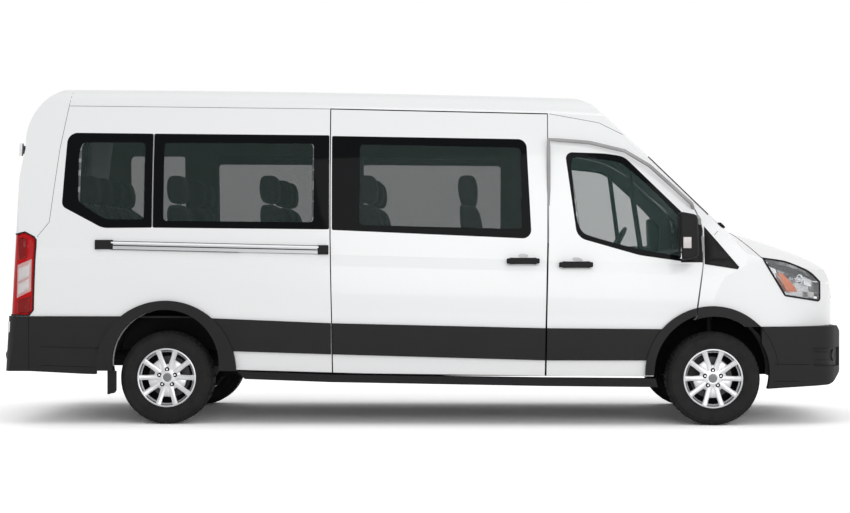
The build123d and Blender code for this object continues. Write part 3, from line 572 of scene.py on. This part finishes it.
rimLook = {
    "lip": [(0.2115, 0.930), (0.2125, 0.955), (0.2120, 0.9625), (0.2060, 0.9640), (0.2000, 0.9610),
            (0.1985, 0.9500), (0.1930, 0.9400), (0.1850, 0.9330), (0.1850, 0.9250)],
    "barrel": [(0.211, 0.785), (0.2112, 0.929), (0.1848, 0.924), (0.1900, 0.8600), (0.1930, 0.7950),
               (0.200, 0.785)],
    "hub": [(0.0, 0.9340), (0.030, 0.9340), (0.0304, 0.9385), (0.0340, 0.9400), (0.0420, 0.9390),
            (0.0780, 0.9330), (0.0960, 0.9260), (0.100, 0.9050), (0.0600, 0.8950), (0.0, 0.8950)],
    "cap": [(0.0, 0.9435), (0.020, 0.9430), (0.0285, 0.9415), (0.0304, 0.9385), (0.0304, 0.930),
            (0.0, 0.930)],
    "disc": [(0.0, 0.812), (0.150, 0.812), (0.150, 0.824), (0.092, 0.824), (0.088, 0.834), (0.084, 0.895),
             (0.0, 0.895)],
    # the shield ring stands where a dust shield sits; its near-black is painted shade behind the wheel
    "shield": [(0.145, 0.800), (0.192, 0.800), (0.192, 0.804), (0.145, 0.804)],
    # spokes and webs: share of the way out, half width, level of the face, depth
    "spoke": [(0, 0.0225, 0.9365, 0.026), (0.35, 0.0190, 0.9380, 0.026), (0.7, 0.0165, 0.9460, 0.024),
              (1.0, 0.0205, 0.9570, 0.020)],
    "web": [(0, 0.020, 0.9345, 0.024), (0.5, 0.026, 0.9350, 0.024), (0.93, 0.034, 0.9340, 0.022),
            (1.0, 0.031, 0.9290, 0.016)],
    "spokeReach": (0.06, 0.2005), "webReach": (0.05, 0.138), "pairs": 5, "pairTurn": 18,
    "ridge": (0.62, 0.0045), "nuts": 5, "nutCircle": 0.059, "nutLevel": 0.936,
    # the black ring under each nut is painted shade in its hole
    "nutRadius": (0.0085, 0.006375), "nutDepth": 0.016, "holeShadeRadius": 0.0165, "holeShadeDepth": 0.0042,
}


def around(angle, radius, out=0.0):
    return Vector((cos(angle) * radius, out, sin(angle) * radius))


def limb(bm, centre, side, angle, reach, sections):  # a ridged bar that runs out from the hub
    start, end = (around(angle, radius) for radius in reach)
    wide = (end - start).cross(Vector((0, 1, 0))).normalized()
    ridge, drop = rimLook["ridge"]
    rings = []
    for share, width, face, depth in sections:
        spot = centre + start + (end - start) * share
        corners = []
        for offset, level in ((-1, -depth), (-1, -drop), (-ridge, 0), (ridge, 0), (1, -drop), (1, -depth)):
            raised = Vector((0, side * (face + level), 0))
            corners.append(bm.verts.new(spot + wide * (offset * width) + raised))
        rings.append([bm.edges.new(pair) for pair in zip(corners, corners[1:] + corners[:1])])
    for first, second in zip(rings, rings[1:]):
        bmesh.ops.bridge_loops(bm, edges=first + second)
    bmesh.ops.contextual_create(bm, geom=rings[0])
    bmesh.ops.contextual_create(bm, geom=rings[-1])


def makeRim(end, label, side):
    look = rimLook
    centre = Vector((wheelPlaces[end], 0, tyreLook["radius"]))

    def ring(part, steps=72, closed=True):
        return spun([(r, side * d) for r, d in look[part]], centre, steps=steps, closed=closed)

    def add(mesh, name, finish, slot="alloy", replaces=(), smooth=38):
        made(mesh, name + end + label, finish, rides(end, label), slot, replaces, smooth)

    spokes = bmesh.new()
    for number in range(look["pairs"]):
        middle = radians(-90) + number * 2 * pi / look["pairs"]
        for turn in (-look["pairTurn"], look["pairTurn"]):
            limb(spokes, centre, side, middle + radians(turn), look["spokeReach"], look["spoke"])
        limb(spokes, centre, side, middle, look["webReach"], look["web"])
    bmesh.ops.recalc_face_normals(spokes, faces=spokes.faces[:])
    # the barrel is alloy; its near-black cast metal is painted shade inside the wheel
    add(ring("barrel"), "rimBarrel", castMetal)
    add(joined(ring("lip"), ring("hub", closed=False), spokes), "rim", alloySilver,
        replaces=[f"rim_{end.lower()}_{label.lower()}"], smooth=40)
    add(ring("cap", 40, False), "hubCap", capGrey)
    nuts, seats = bmesh.new(), bmesh.new()
    for number in range(look["nuts"]):
        spot = centre + around(radians(90) + number * 2 * pi / look["nuts"], look["nutCircle"],
                               side * look["nutLevel"])
        turned = Matrix.Translation(spot) @ Matrix.Rotation(-side * pi / 2, 4, "X")
        foot, top = look["nutRadius"]
        bmesh.ops.create_cone(nuts, cap_ends=True, segments=6, radius1=foot, radius2=top,
                              depth=look["nutDepth"], matrix=turned)
        bmesh.ops.create_cone(seats, cap_ends=True, segments=24, radius1=look["holeShadeRadius"],
                              radius2=look["holeShadeRadius"], depth=look["holeShadeDepth"], matrix=turned)
    add(nuts, "wheelNuts", chrome, smooth=20)
    # black discs under the nuts: painted shade in the nut holes
    add(seats, "nutSeats", softBlack, "black_plastic")
    # the disc's darkened steel is painted shade behind the spokes
    add(ring("disc", 56, False), "brakeDisc", discSteelPaintedShade, "chassis_steel")
    # the near-black shield is painted shade behind the wheel, where a dust shield sits
    add(ring("shield"), "brakeShield", sealRubber, "chassis_steel")


for end in wheelPlaces:
    for label, flip in sides:
        makeTyre(end, label, 1 if flip else -1)
        makeRim(end, label, 1 if flip else -1)
print("wheels made")

# panel seams
seamLook = {
    "radius": 0.0019, "sink": 0.0008,
    "lines": {
        "roofSeam": [(-2.574, 2.295), (-1.972, 2.287), (-0.692, 2.269)],
        "cabSeam": [(0.891, 2.230), (1.246, 2.165), (1.42, 2.08)],
        "rearPillarSeam": [(-2.562, 2.392), (-2.580, 2.299), (-2.636, 1.983), (-2.701, 1.452),
                           (-2.788, 1.345)],
        "glassSplit": [(-1.958, 2.088), (-1.958, 1.414)],
        "cowlSeam": [(2.114, 1.412), (2.063, 1.358)],
    },
}
rightSkin = skinTree("roof_panel", "side_panel_right", "rear_frame", "cab_frame", "wing_right",
                     "front_fascia", "bonnet", "sliding_door", "front_door_right", "side_glass_right",
                     "front_bumper", "rear_bumper")
for name, line in seamLook["lines"].items():
    points = traced(rightSkin, line, sink=seamLook["sink"])
    for label, flip in sides:
        bead(points, seamLook["radius"], name + label, seamDark, mirrored=flip)

# windscreen seal, down the edge of the glass
screenSeal = {"top": (-0.712, 1.975), "foot": (-0.858, 1.412), "steps": 12, "radius": 0.007}
screenTree = skinTree("windscreen")
sealPoints = []
for step in range(screenSeal["steps"] + 1):
    y, z = Vector(screenSeal["top"]).lerp(Vector(screenSeal["foot"]), step / screenSeal["steps"])
    spot = endSkin(screenTree, y, z, 1)
    if spot:
        sealPoints.append(spot)
for label, flip in sides:
    bead(sealPoints, screenSeal["radius"], "screenSeal" + label, sealRubber, mirrored=flip)

# headlamps: outlines are seen from the side
lampLook = {
    "amber": [(2.522, 1.093), (2.566, 1.078), (2.660, 0.985), (2.674, 0.948), (2.594, 0.955)],
    "bezel": [(2.45, 1.160), (2.60, 1.136), (2.72, 1.092), (2.79, 1.05), (2.78, 1.03), (2.60, 1.085),
              (2.47, 1.13)],
    "square": [(2.732, 1.060), (2.798, 1.034), (2.800, 0.984), (2.736, 1.000)],
    "low": [(2.771, 0.952), (2.823, 0.944), (2.822, 0.905), (2.776, 0.912)],
    "bowl": [(0.0, -0.040), (0.015, -0.037), (0.0258, -0.026), (0.030, -0.010), (0.0375, -0.008),
             (0.0375, -0.016), (0.027, -0.034), (0.0, -0.046)],
    "bulb": [(0.0, -0.016), (0.010, -0.018), (0.014, -0.024), (0.012, -0.036), (0.0, -0.040)],
    "projector": (2.693, 1.040), "facing": (0.62, -0.78, 0.0), "depth": 0.05, "frame": 0.0075, "lens": 0.003,
    "partThickness": 0.006, "partEdge": 0.002,
}
lampParts = (("amber", amber, -0.012), ("bezel", softBlack, -0.022), ("square", chrome, -0.018),
             ("low", lampCream, -0.018))


def lampFaces(name, sink, rear=False):  # the outer faces of the right-hand lamp, drawn in by sink
    return swollen(copied([name], lambda c, n: c.y < 0 and (n.y < -0.12 or (rear and n.x < -0.25))), -sink)


def rimPoints(bm):  # the points round the edge of a sheet of faces, in order
    edges = [edge for edge in bm.edges if edge.is_boundary]
    edge = min(edges, key=lambda e: e.verts[0].co.x)
    vert = edge.verts[0]
    points = [vert.co.copy()]
    while edge:
        edges.remove(edge)
        vert = edge.other_vert(vert)
        points.append(vert.co.copy())
        edge = next((e for e in vert.link_edges if e in edges), None)
    bm.free()
    return points[:-1]


lampRim = rimPoints(lampFaces("headlamps", 0.0))
lampSpot = onSkin(skinTree("headlamps"), *lampLook["projector"])
for label, flip in sides:
    lens = made(lampFaces("headlamps", 0.0), "headlampLens" + label, lensGlass, "body", "lamp_clear",
                ["headlamps"], mirrored=flip)
    modifier(lens, "SOLIDIFY", thickness=lampLook["lens"], offset=-1)
    bead(lampRim, lampLook["frame"], "headlampFrame" + label, softBlack, cyclic=True, mirrored=flip)
    made(lampFaces("headlamps", lampLook["depth"]), "headlampBack" + label, lampGrey, "body", "lamp_clear",
         mirrored=flip)
    for part, finish, lift in lampParts:
        piece = made(patch(["headlamps"], lampLook[part], lift), "headlamp" + part.title() + label, finish,
                     "body", "lamp_clear", mirrored=flip)
        modifier(piece, "SOLIDIFY", thickness=lampLook["partThickness"], offset=-1)
        modifier(piece, "BEVEL", width=lampLook["partEdge"], segments=2)
    bowl = spun(lampLook["bowl"], lampSpot, lampLook["facing"], 48, False)
    made(bowl, "headlampBowl" + label, chrome, "body", "lamp_clear", mirrored=flip)
    bulb = spun(lampLook["bulb"], lampSpot, lampLook["facing"], 32, False)
    made(bulb, "headlampBulb" + label, lensGlass, "body", "lamp_clear", mirrored=flip)
print("headlamps made")

# tail lamps
tailLook = {
    "dark": [(-2.920, 1.340), (-2.862, 1.340), (-2.858, 1.196), (-2.920, 1.180)],
    "clear": [(-2.926, 1.142), (-2.821, 1.187), (-2.824, 0.957), (-2.930, 0.905)],
    "upper": [(-2.916, 1.118), (-2.836, 1.152), (-2.838, 1.062), (-2.919, 1.022)],
    "lower": [(-2.917, 1.006), (-2.838, 1.046), (-2.840, 0.972), (-2.921, 0.930)],
    "low": [(-2.926, 0.892), (-2.824, 0.922), (-2.832, 0.800), (-2.926, 0.796)],
    "edge": 0.006, "lens": 0.02, "partThickness": 0.002,
}
tailParts = (("dark", darkRed, 0.0006), ("clear", lampPink, 0.0006), ("upper", lampWhite, 0.0022),
             ("lower", lampWhite, 0.0022), ("low", darkRed, 0.0006))
tailRim = rimPoints(lampFaces("tail_lamps", 0.0, True))
for label, flip in sides:
    lens = made(lampFaces("tail_lamps", 0.0, True), "tailLamp" + label, redLens, "body", "lamp_red",
                ["tail_lamps"], mirrored=flip)
    modifier(lens, "SOLIDIFY", thickness=tailLook["lens"], offset=-1)
    for part, finish, lift in tailParts:
        piece = made(patch(["tail_lamps"], tailLook[part], lift), "tailLamp" + part.title() + label, finish,
                     "body", "lamp_red", mirrored=flip)
        modifier(piece, "SOLIDIFY", thickness=tailLook["partThickness"], offset=-1)
    bead(tailRim, tailLook["edge"], "tailLampEdge" + label, softBlack, cyclic=True, mirrored=flip)
print("tail lamps made")

# door mirrors
mirrorLook = {
    "middle": (1.8595, -1.172, 1.3495), "half": (0.0655, 0.095, 0.1715), "round": 0.030,
    "narrow": (0.72, 0.86), "lean": 0.012,
    "arm": ((1.866, -1.118, 1.184), (1.920, -0.955, 1.240)), "armRound": 0.012,
    "panes": {"Glass": (0.06, 0.325), "Lower": (0.012, 0.052)},  # from and to, above the housing's foot
    "paneDepth": (-0.001, 0.006), "paneInset": 0.016, "paneRound": 0.004,
    "repeater": ((1.8075, -1.267, 1.2625), (1.8635, -1.255, 1.3405)),
}


def mirrorShell():
    middle, half = Vector(mirrorLook["middle"]), Vector(mirrorLook["half"])
    across, up = mirrorLook["narrow"]
    shell = block(middle - half, middle + half)
    for vert in shell.verts:
        if vert.co.x > middle.x:  # the front of the housing is narrower than its glass
            vert.co.y = middle.y + (vert.co.y - middle.y) * across
            vert.co.z = middle.z + (vert.co.z - middle.z) * up
        if vert.co.z > middle.z:
            vert.co.x -= mirrorLook["lean"]
    rounded(shell, shell.edges[:], mirrorLook["round"], 6)
    return joined(shell, block(*mirrorLook["arm"], mirrorLook["armRound"], 4))


for label, flip in sides:
    door = "front_door_" + label.lower()
    made(mirrorShell(), "mirrorHousing" + label, softBlack, door, "black_plastic", [door + "_mirror"],
         mirrored=flip)
    x, y, z = Vector(mirrorLook["middle"]) - Vector(mirrorLook["half"])
    wide = mirrorLook["half"][1] * 2
    back, front = mirrorLook["paneDepth"]
    inset = mirrorLook["paneInset"]
    for name, (low, high) in mirrorLook["panes"].items():
        pane = block((x + back, y + inset, z + low), (x + front, y + wide - inset, z + high),
                     mirrorLook["paneRound"], 3)
        made(pane, "mirror" + name + label, mirrorSilver, door, "clear_glass", mirrored=flip)
    repeater = block(*mirrorLook["repeater"], mirrorLook["paneRound"], 3)
    made(repeater, "mirrorRepeater" + label, lampWhite, door, "lamp_clear", mirrored=flip)
print("mirrors made")

# mirror base panels over the door and the wing
sailLook = {
    "door": [(1.927, 1.503), (1.976, 1.440), (1.981, 1.163), (1.822, 1.163)],
    "wing": [(1.990, 1.420), (2.238, 1.129), (2.227, 1.113), (1.992, 1.150)],
    "lift": 0.004, "thickness": 0.004,
}
for label, flip in sides:
    onDoor = made(patch(["front_door_right", "front_door_right_glass"], sailLook["door"], sailLook["lift"]),
                  "mirrorBase" + label, softBlack, "front_door_" + label.lower(), "black_plastic",
                  mirrored=flip)
    onWing = made(patch(["cab_frame", "wing_right"], sailLook["wing"], sailLook["lift"]),
                  "wingTriangle" + label, softBlack, "body", "black_plastic", mirrored=flip)
    for panel in (onDoor, onWing):
        modifier(panel, "SOLIDIFY", thickness=sailLook["thickness"], offset=-1)

# front door seals behind the shut gap, grey as painted shade of the body-colour frame in the gap, and window
# dividers
doorSeal = {
    "line": [(0.884, 1.30), (0.882, 2.042), (1.175, 2.018), (1.424, 1.958), (1.601, 1.852), (1.765, 1.705),
             (1.900, 1.580), (1.955, 1.470), (1.979, 1.330), (1.981, 1.165), (1.940, 0.868)],
    "radius": 0.013, "depth": 0.036, "step": 0.06,
}
dividerLook = {"line": [(1.452, 1.868), (1.541, 1.236)], "radius": 0.019, "depth": 0.034}
sealTree = skinTree("front_door_right", "cab_frame", "sliding_door", "roof_panel", "wing_right",
                    "front_door_right_glass")
sealLine = traced(sealTree, doorSeal["line"], doorSeal["step"], doorSeal["depth"])
dividerLine = traced(skinTree("front_door_right_glass"), dividerLook["line"], sink=dividerLook["depth"])
for label, flip in sides:
    bead(sealLine, doorSeal["radius"], "doorSeal" + label, gapPaintedShade, mirrored=flip)
for label, flip in sides:
    bead(dividerLine, dividerLook["radius"], "windowDivider" + label, sealRubber,
         "front_door_" + label.lower(), mirrored=flip)

# door handles: from and to along the side, and the height
handleLook = {
    "places": {"slidingHandle": (0.587, 0.811, 1.173, "body", False),
               "frontHandleRight": (0.962, 1.190, 1.147, "front_door_right", False),
               "frontHandleLeft": (0.962, 1.190, 1.147, "front_door_left", True)},
    "depth": 0.026, "half": 0.0290, "over": 0.005, "reach": 0.050, "round": 0.006, "waist": 0.22,
    "ending": 0.09, "endHeight": 0.45, "cuts": 24,
    "dish": (0.060, 0.0016, 0.046), "dishLift": (0.0005, 0.006),
}
handleTree = skinTree("front_door_right", "sliding_door")
for name, (x0, x1, z, body, flip) in handleLook["places"].items():
    look = handleLook
    middle = (x0 + x1) / 2
    near = onSkin(handleTree, middle, z + 0.04).y
    x0, x1 = x0 - look["over"], x1 + look["over"]
    grip = block((x0, near - look["reach"], z - look["half"]),
                 (x1, near - look["reach"] + look["depth"], z + look["half"]))
    lengthwise = [e for e in grip.edges if abs(e.verts[0].co.x - e.verts[1].co.x) > 0.1]
    bmesh.ops.subdivide_edges(grip, edges=lengthwise, cuts=look["cuts"])
    for vert in grip.verts:  # a slight waist between the rounded ends
        share = (vert.co.x - x0) / (x1 - x0)
        ending = min(1, max(0, min(share, 1 - share)) / look["ending"])
        narrow = 1 - look["waist"] * (1 - abs(2 * share - 1) ** 6)
        arch = look["endHeight"] + (1 - look["endHeight"]) * (1 - (1 - ending) ** 2) ** 0.5
        vert.co.z = z + (vert.co.z - z) * narrow * arch
    rounded(grip, [e for e in grip.edges if e.calc_face_angle(0) > 0.9], look["round"], 3)
    made(grip, name, softBlack, body, "black_plastic", mirrored=flip)
    out, up = look["dishLift"]
    # the dish behind each grip is body paint, darker as painted shade in the recess
    dish = bmesh.new()
    bmesh.ops.create_uvsphere(dish, u_segments=40, v_segments=20, radius=1, matrix=Matrix.Translation(
        (middle, near + out, z + up)) @ Matrix.Diagonal((*look["dish"], 1)))
    made(dish, name + "Dish", recessPaintedShade, body, "body_paint", mirrored=flip)

# slide rail: channel lines (height, radius) and end caps (from, to, low, high); the bright top line is a
# painted highlight
railLook = {
    "lines": {"railTopEdge": (1.317, 0.0022, softBlack), "railTop": (1.307, 0.0075, railPaintedHighlight),
              "railMiddle": (1.287, 0.0045, seamDark), "railLowEdge": (1.2575, 0.0025, softBlack)},
    "caps": {"railCapRear": (-2.368, -2.236, 1.254, 1.324), "railCapFront": (-0.768, -0.690, 1.219, 1.286)},
    "ends": ((-2.25, 0.00225), (-0.76, 0.0356625)),  # the rail runs down towards the nose
    "capDepth": (-0.004, 0.014), "capRound": 0.006,
}
railSkin = skinTree("slide_rail")
railFace = onSkin(railSkin, -1.5, 1.27).y
for name, (level, radius, finish) in railLook["lines"].items():
    line = traced(railSkin, [(x, level - fall) for x, fall in railLook["ends"]])
    bead(line, radius, name, finish, slot="alloy" if finish is railPaintedHighlight else "black_plastic")
for name, (x0, x1, low, high) in railLook["caps"].items():
    out, deep = railLook["capDepth"]
    cap = block((x0, railFace + out, low), (x1, railFace + deep, high), railLook["capRound"], 4)
    made(cap, name, softBlack, "body", "black_plastic")
print("handles and rail made")

# rear wheel arch liners with a back wall, near-black as painted shade inside the arches
linerLook = {"centre": (-1.857, 0, 0.440), "radius": 0.392, "inner": 0.700, "outer": 0.930, "foot": 0.52,
             "thickness": 0.003}
for label, flip in sides:
    side = 1 if flip else -1
    inner, outer = side * linerLook["inner"], side * linerLook["outer"]
    profile = [(0.0, inner), (linerLook["radius"], inner), (linerLook["radius"], outer)]
    liner = spun(profile, linerLook["centre"], steps=64, closed=False)
    cutBy(liner, (0, 0, linerLook["foot"]), (0, 0, -1))
    piece = made(liner, "archLiner" + label, sealRubber, "body", "black_plastic")
    modifier(piece, "SOLIDIFY", thickness=linerLook["thickness"], offset=0)

# bumper lines, the edge of the front flare, and fog lamps
bumperLook = {
    "front": {"Crease": [(2.495, 0.435), (2.748, 0.432)], "Lower": [(2.500, 0.314), (2.675, 0.312)],
              "FogTop": [(2.800, 0.520), (2.930, 0.514)], "FogLow": [(2.800, 0.462), (2.930, 0.458)]},
    "rear": {"Crease": [(-2.755, 0.558), (-2.335, 0.548)], "Low": [(-2.755, 0.424), (-2.335, 0.410)],
             "Seam": [(-2.838, 0.770), (-2.842, 0.392)]},
    "radius": 0.0026, "sink": 0.001, "flareRing": (2.045, 0.374, 0.478), "flareTurn": (0.10, 0.80),
    "flareSteps": 12,
}
fogLook = {
    "profile": [(0.0, 0.004), (0.03612, 0.004), (0.042, 0.008), (0.042, -0.01), (0.0, -0.01)],
    "place": (-0.70, 0.49), "facing": (0.93, -0.36, 0),
}
bumperTrees = {"front": skinTree("front_bumper", "wing_right", "side_trim"),
               "rear": skinTree("side_panel_right", "side_trim", "rear_bumper", "rear_frame")}
ringX, ringZ, ringRadius = bumperLook["flareRing"]
firstTurn, lastTurn = bumperLook["flareTurn"]
turns = [firstTurn + (lastTurn - firstTurn) * i / bumperLook["flareSteps"]
         for i in range(bumperLook["flareSteps"] + 1)]
flareLine = [(ringX + ringRadius * cos(turn), ringZ + ringRadius * sin(turn)) for turn in turns]
bumperLines = {end + "Bumper" + part: (end, line) for end in ("front", "rear")
               for part, line in bumperLook[end].items()}
bumperLines["flareEdge"] = ("front", flareLine)
for label, flip in sides:
    for name, (end, line) in bumperLines.items():
        bead(traced(bumperTrees[end], line, sink=bumperLook["sink"]), bumperLook["radius"], name + label,
             sealRubber, mirrored=flip)
fogSpot = endSkin(bumperTrees["front"], *fogLook["place"], 1)
for label, flip in sides:
    fog = spun(fogLook["profile"], fogSpot, fogLook["facing"], 48, False)
    made(fog, "fogLamp" + label, castMetal, "body", "lamp_clear", mirrored=flip)

# rear hinge covers, and the rear door's handle
rearLook = {
    "cover": ((-3.002, -1.000, 0.657), (-2.944, -0.925, 0.739)), "coverRound": 0.008,
    "handleSpot": (0.07, 1.12), "handleSpan": ((0.045, 1.04), (0.10, 1.24)), "handleDepth": (-0.018, 0.002),
    "handleRound": 0.010,
}
for label, flip in sides:
    made(block(*rearLook["cover"], rearLook["coverRound"], 3), "rearHingeCover" + label, whitePaint, "body",
         "body_paint", mirrored=flip)
back = endSkin(skinTree("rear_door_left"), *rearLook["handleSpot"], -1).x
corners = [(back + depth, y, z) for depth, (y, z) in zip(rearLook["handleDepth"], rearLook["handleSpan"])]
made(block(*corners, rearLook["handleRound"], 4), "rearHandle", softBlack, "rear_door_left", "black_plastic")
print("bumpers and rear door made")

# seats: cages that a subdivision rounds; a place is along, across and how wide the seat is
seatLook = {
    "front": [(0.96, 0.47, 0.47), (0.96, -0.215, 0.40), (0.96, -0.63, 0.40)],
    "rows": (0.3, -0.43, -1.15, -1.83), "across": (0.65, 0.215, -0.65),
    "lastRow": -2.48, "lastAcross": (0.65, 0.217, -0.217, -0.65), "width": 0.43,
    "cushion": (0.47, 0.135, 0.905), "cushionX": 0.02, "cushionFall": 0.03, "bolster": 0.028,
    "backHeight": 0.585, "backFoot": 1.0, "backDepth": (0.20, 0.135), "backStart": -0.05, "backX": 0.035,
    "lean": 0.045, "taper": 0.13, "shoulder": 0.035,
    "restraint": (0.15, 0.25, 0.205), "restraintFoot": 1.592, "restraintX": 0.01, "restraintTaper": 0.16,
    "postHalf": 0.006, "postSpan": 0.06, "postFoot": 1.56, "postOver": 0.03, "fill": 0.9,
}


def padCage(low, high, cuts):  # a closed box with a grid on each face
    bm = block(low, high)
    for axis, count in enumerate(cuts):
        edges = []
        for edge in bm.edges:
            run = edge.verts[1].co - edge.verts[0].co
            if abs(run[axis]) > 1e-4 and run.length - abs(run[axis]) < 1e-6:
                edges.append(edge)
        bmesh.ops.subdivide_edges(bm, edges=edges, cuts=count, use_grid_fill=True)
    return bm


def cushionCage(half):
    look = seatLook
    length, thick, foot = look["cushion"]
    start = look["cushionX"]
    cushion = padCage((start, -half, foot), (start + length, half, foot + thick), (4, 4, 1))
    for vert in cushion.verts:
        u, v = (vert.co.x - start - length / 2) / (length / 2), vert.co.y / half
        if vert.co.z > foot + thick * 0.7:
            vert.co.z += look["bolster"] * (v * v * 0.6 - 0.4 * (1 - u * u) * (1 - v * v))
        vert.co.z -= look["cushionFall"] * (1 - (u + 1) / 2)
    return cushion


def backCage(half):
    look = seatLook
    foot, height, start = look["backFoot"], look["backHeight"], look["backStart"]
    deepFoot, deepTop = look["backDepth"]
    back = padCage((start, -half, foot), (start + deepFoot, half, foot + height), (1, 4, 5))
    for vert in back.verts:
        v, h = vert.co.y / half, (vert.co.z - foot) / height
        vert.co.y *= 1 - look["taper"] * h * h
        vert.co.z -= look["shoulder"] * abs(v) ** 3 * h
        if vert.co.x > 0:
            hollow = (v * v - 0.4 * (1 - v * v)) * (1 - 0.4 * h)
            vert.co.x += (deepTop - deepFoot) * h + look["bolster"] * hollow
        vert.co.x += look["backX"] - look["lean"] * h
    return back


def restraintCage():
    look = seatLook
    deep, wide, tall = look["restraint"]
    foot, middle = look["restraintFoot"], look["restraintX"]
    rest = padCage((middle - deep / 2, -wide / 2, foot), (middle + deep / 2, wide / 2, foot + tall),
                   (1, 3, 2))
    for vert in rest.verts:
        share = (vert.co.z - foot) / tall
        vert.co.y *= 1 - look["restraintTaper"] * share ** 2
        vert.co.x = middle + (vert.co.x - middle) * (0.72 + 1.12 * share * (1 - share)) - 0.012 * share
    half, top = look["postHalf"], foot + look["postOver"]
    posts = [block((middle - half, y - half, look["postFoot"]), (middle + half, y + half, top))
             for y in (-look["postSpan"], look["postSpan"])]
    return joined(rest, *posts)


def makeSeats(name, places, replaced):
    seats = []
    for x, y, width in places:
        seat = joined(cushionCage(width / 2), backCage(width / 2), restraintCage())
        bmesh.ops.translate(seat, verts=seat.verts[:], vec=(x, y, 0))
        seats.append(seat)
    piece = made(joined(*seats), name, seatCloth, "body", "seat_fabric", [replaced], smooth=0)
    piece.data.shade_smooth()
    modifier(piece, "SUBSURF", levels=2, render_levels=2)


rearSeats = [(x, y, seatLook["width"]) for x in seatLook["rows"] for y in seatLook["across"]]
rearSeats += [(seatLook["lastRow"], y, seatLook["width"]) for y in seatLook["lastAcross"]]
makeSeats("frontSeatPads", seatLook["front"], "front_seats")
makeSeats("passengerSeatPads", rearSeats, "passenger_seats")

# steering wheel, instrument hood and screen
helmLook = {
    "centre": (1.45, 0.47, 1.26), "axis": (-0.86, 0, 0.5), "radius": 0.19, "grip": 0.0145,
    "boss": [(0.0, 0.012), (0.05, 0.010), (0.066, 0.0), (0.060, -0.02), (0.032, -0.05), (0.030, -0.13),
             (0.0, -0.13)],
    "arm": ((0.05, -0.018, -0.014), (0.182, 0.018, 0.002)), "armRound": 0.005, "armTurns": (0, 180, -90),
    "hood": ((1.56, 0.29, 1.19), (1.74, 0.65, 1.285)), "hoodRound": 0.03,
    "screen": ((1.545, -0.13, 1.10), (1.60, 0.13, 1.235)), "screenRound": 0.012,
}
axis = Vector(helmLook["axis"]).normalized()
turned = Matrix.Translation(helmLook["centre"]) @ axis.to_track_quat("Z", "Y").to_matrix().to_4x4()
gripProfile = [(helmLook["radius"] + helmLook["grip"] * cos(i * pi / 6), helmLook["grip"] * sin(i * pi / 6))
               for i in range(12)]
helm = [spun(gripProfile, helmLook["centre"], axis, 64),
        spun(helmLook["boss"], helmLook["centre"], axis, 40, False)]
for angle in helmLook["armTurns"]:
    arm = block(*helmLook["arm"], helmLook["armRound"], 3)
    bmesh.ops.transform(arm, matrix=turned @ Matrix.Rotation(radians(angle), 4, "Z"), verts=arm.verts[:])
    helm.append(arm)
made(joined(*helm), "steeringWheel", dashPlastic, "body", "black_plastic", ["steering_wheel"])
made(block(*helmLook["hood"], helmLook["hoodRound"], 5), "instrumentHood", dashPlastic, "body",
     "black_plastic")
made(block(*helmLook["screen"], helmLook["screenRound"], 4), "consoleScreen", glossBlack, "body",
     "black_plastic")
print("cabin made")

# floor, lights, camera
stageLook = {
    "floor": 0.8, "seenFloor": 1.55, "floorSize": 60, "world": 0.72,
    "sun": 0.12, "sunPlace": (0.5, -1.5, 8), "sunSpread": 50,
    "side": 420, "sidePlace": (4, -12, 3.6), "sideAim": (0.6, 0, 1.2), "sideSize": (12, 5),
    "camera": (0.3566, -13.84, 1.2045), "yaw": 1.5917, "lens": 76.21, "sensor": 36, "farthest": 200,
}


def seenOutright(finish):  # 1 to the camera, in reflections and through clear glass, 0 where light bounces
    rays = finish.node("ShaderNodeLightPath").socket.node.outputs
    camera, glossy, through = [Wire(finish, rays[kind]) for kind in
                               ("Is Camera Ray", "Is Glossy Ray", "Is Transmission Ray")]
    return camera.high(glossy).high(through)


def placed(name, data, place, turn=(0, 0, 0)):
    holder = bpy.data.objects.new(name, data)
    holder.location = place
    holder.rotation_euler = turn
    bpy.context.collection.objects.link(holder)
    return holder


def lamp(name, kind, place, aim, power):  # a light that looks from its place to its aim
    light = bpy.data.lights.new(name, kind)
    light.energy = power
    placed(name, light, place, (Vector(aim) - Vector(place)).to_track_quat("-Z", "Y").to_euler())
    return light


paleFloor = Finish("paleFloor", Roughness=0.95, Specular_IOR_Level=0.0)
paleFloor.set(Base_Color=paleFloor.blend(seenOutright(paleFloor), grey(stageLook["floor"]),
                                         grey(stageLook["seenFloor"])))
ground = bpy.data.meshes.new("ground")
bm = bmesh.new()
bmesh.ops.create_grid(bm, x_segments=2, y_segments=2, size=stageLook["floorSize"])
bm.to_mesh(ground)
bm.free()
ground.materials.append(paleFloor.material)
placed("ground", ground, (0, 0, 0))

studio = Finish("studio", bpy.data.worlds.new("studio"), "Background", Color=grey(1))
studio.set(Strength=seenOutright(studio) * (1 - stageLook["world"]) + stageLook["world"])
bpy.context.scene.world = studio.material

overhead = lamp("overhead", "SUN", stageLook["sunPlace"], (0, 0, 0), stageLook["sun"])
overhead.angle = radians(stageLook["sunSpread"])
sideSoft = lamp("sideSoft", "AREA", stageLook["sidePlace"], stageLook["sideAim"], stageLook["side"])
sideSoft.shape = "RECTANGLE"
sideSoft.size, sideSoft.size_y = stageLook["sideSize"]

camera = bpy.data.cameras.new("camera")
camera.lens = stageLook["lens"]
camera.sensor_width = stageLook["sensor"]
camera.clip_end = stageLook["farthest"]
bpy.context.scene.camera = placed("camera", camera, stageLook["camera"],
                                  (radians(90), 0, radians(stageLook["yaw"])))
bpy.context.scene.view_settings.view_transform = "Standard"

print("stage set")
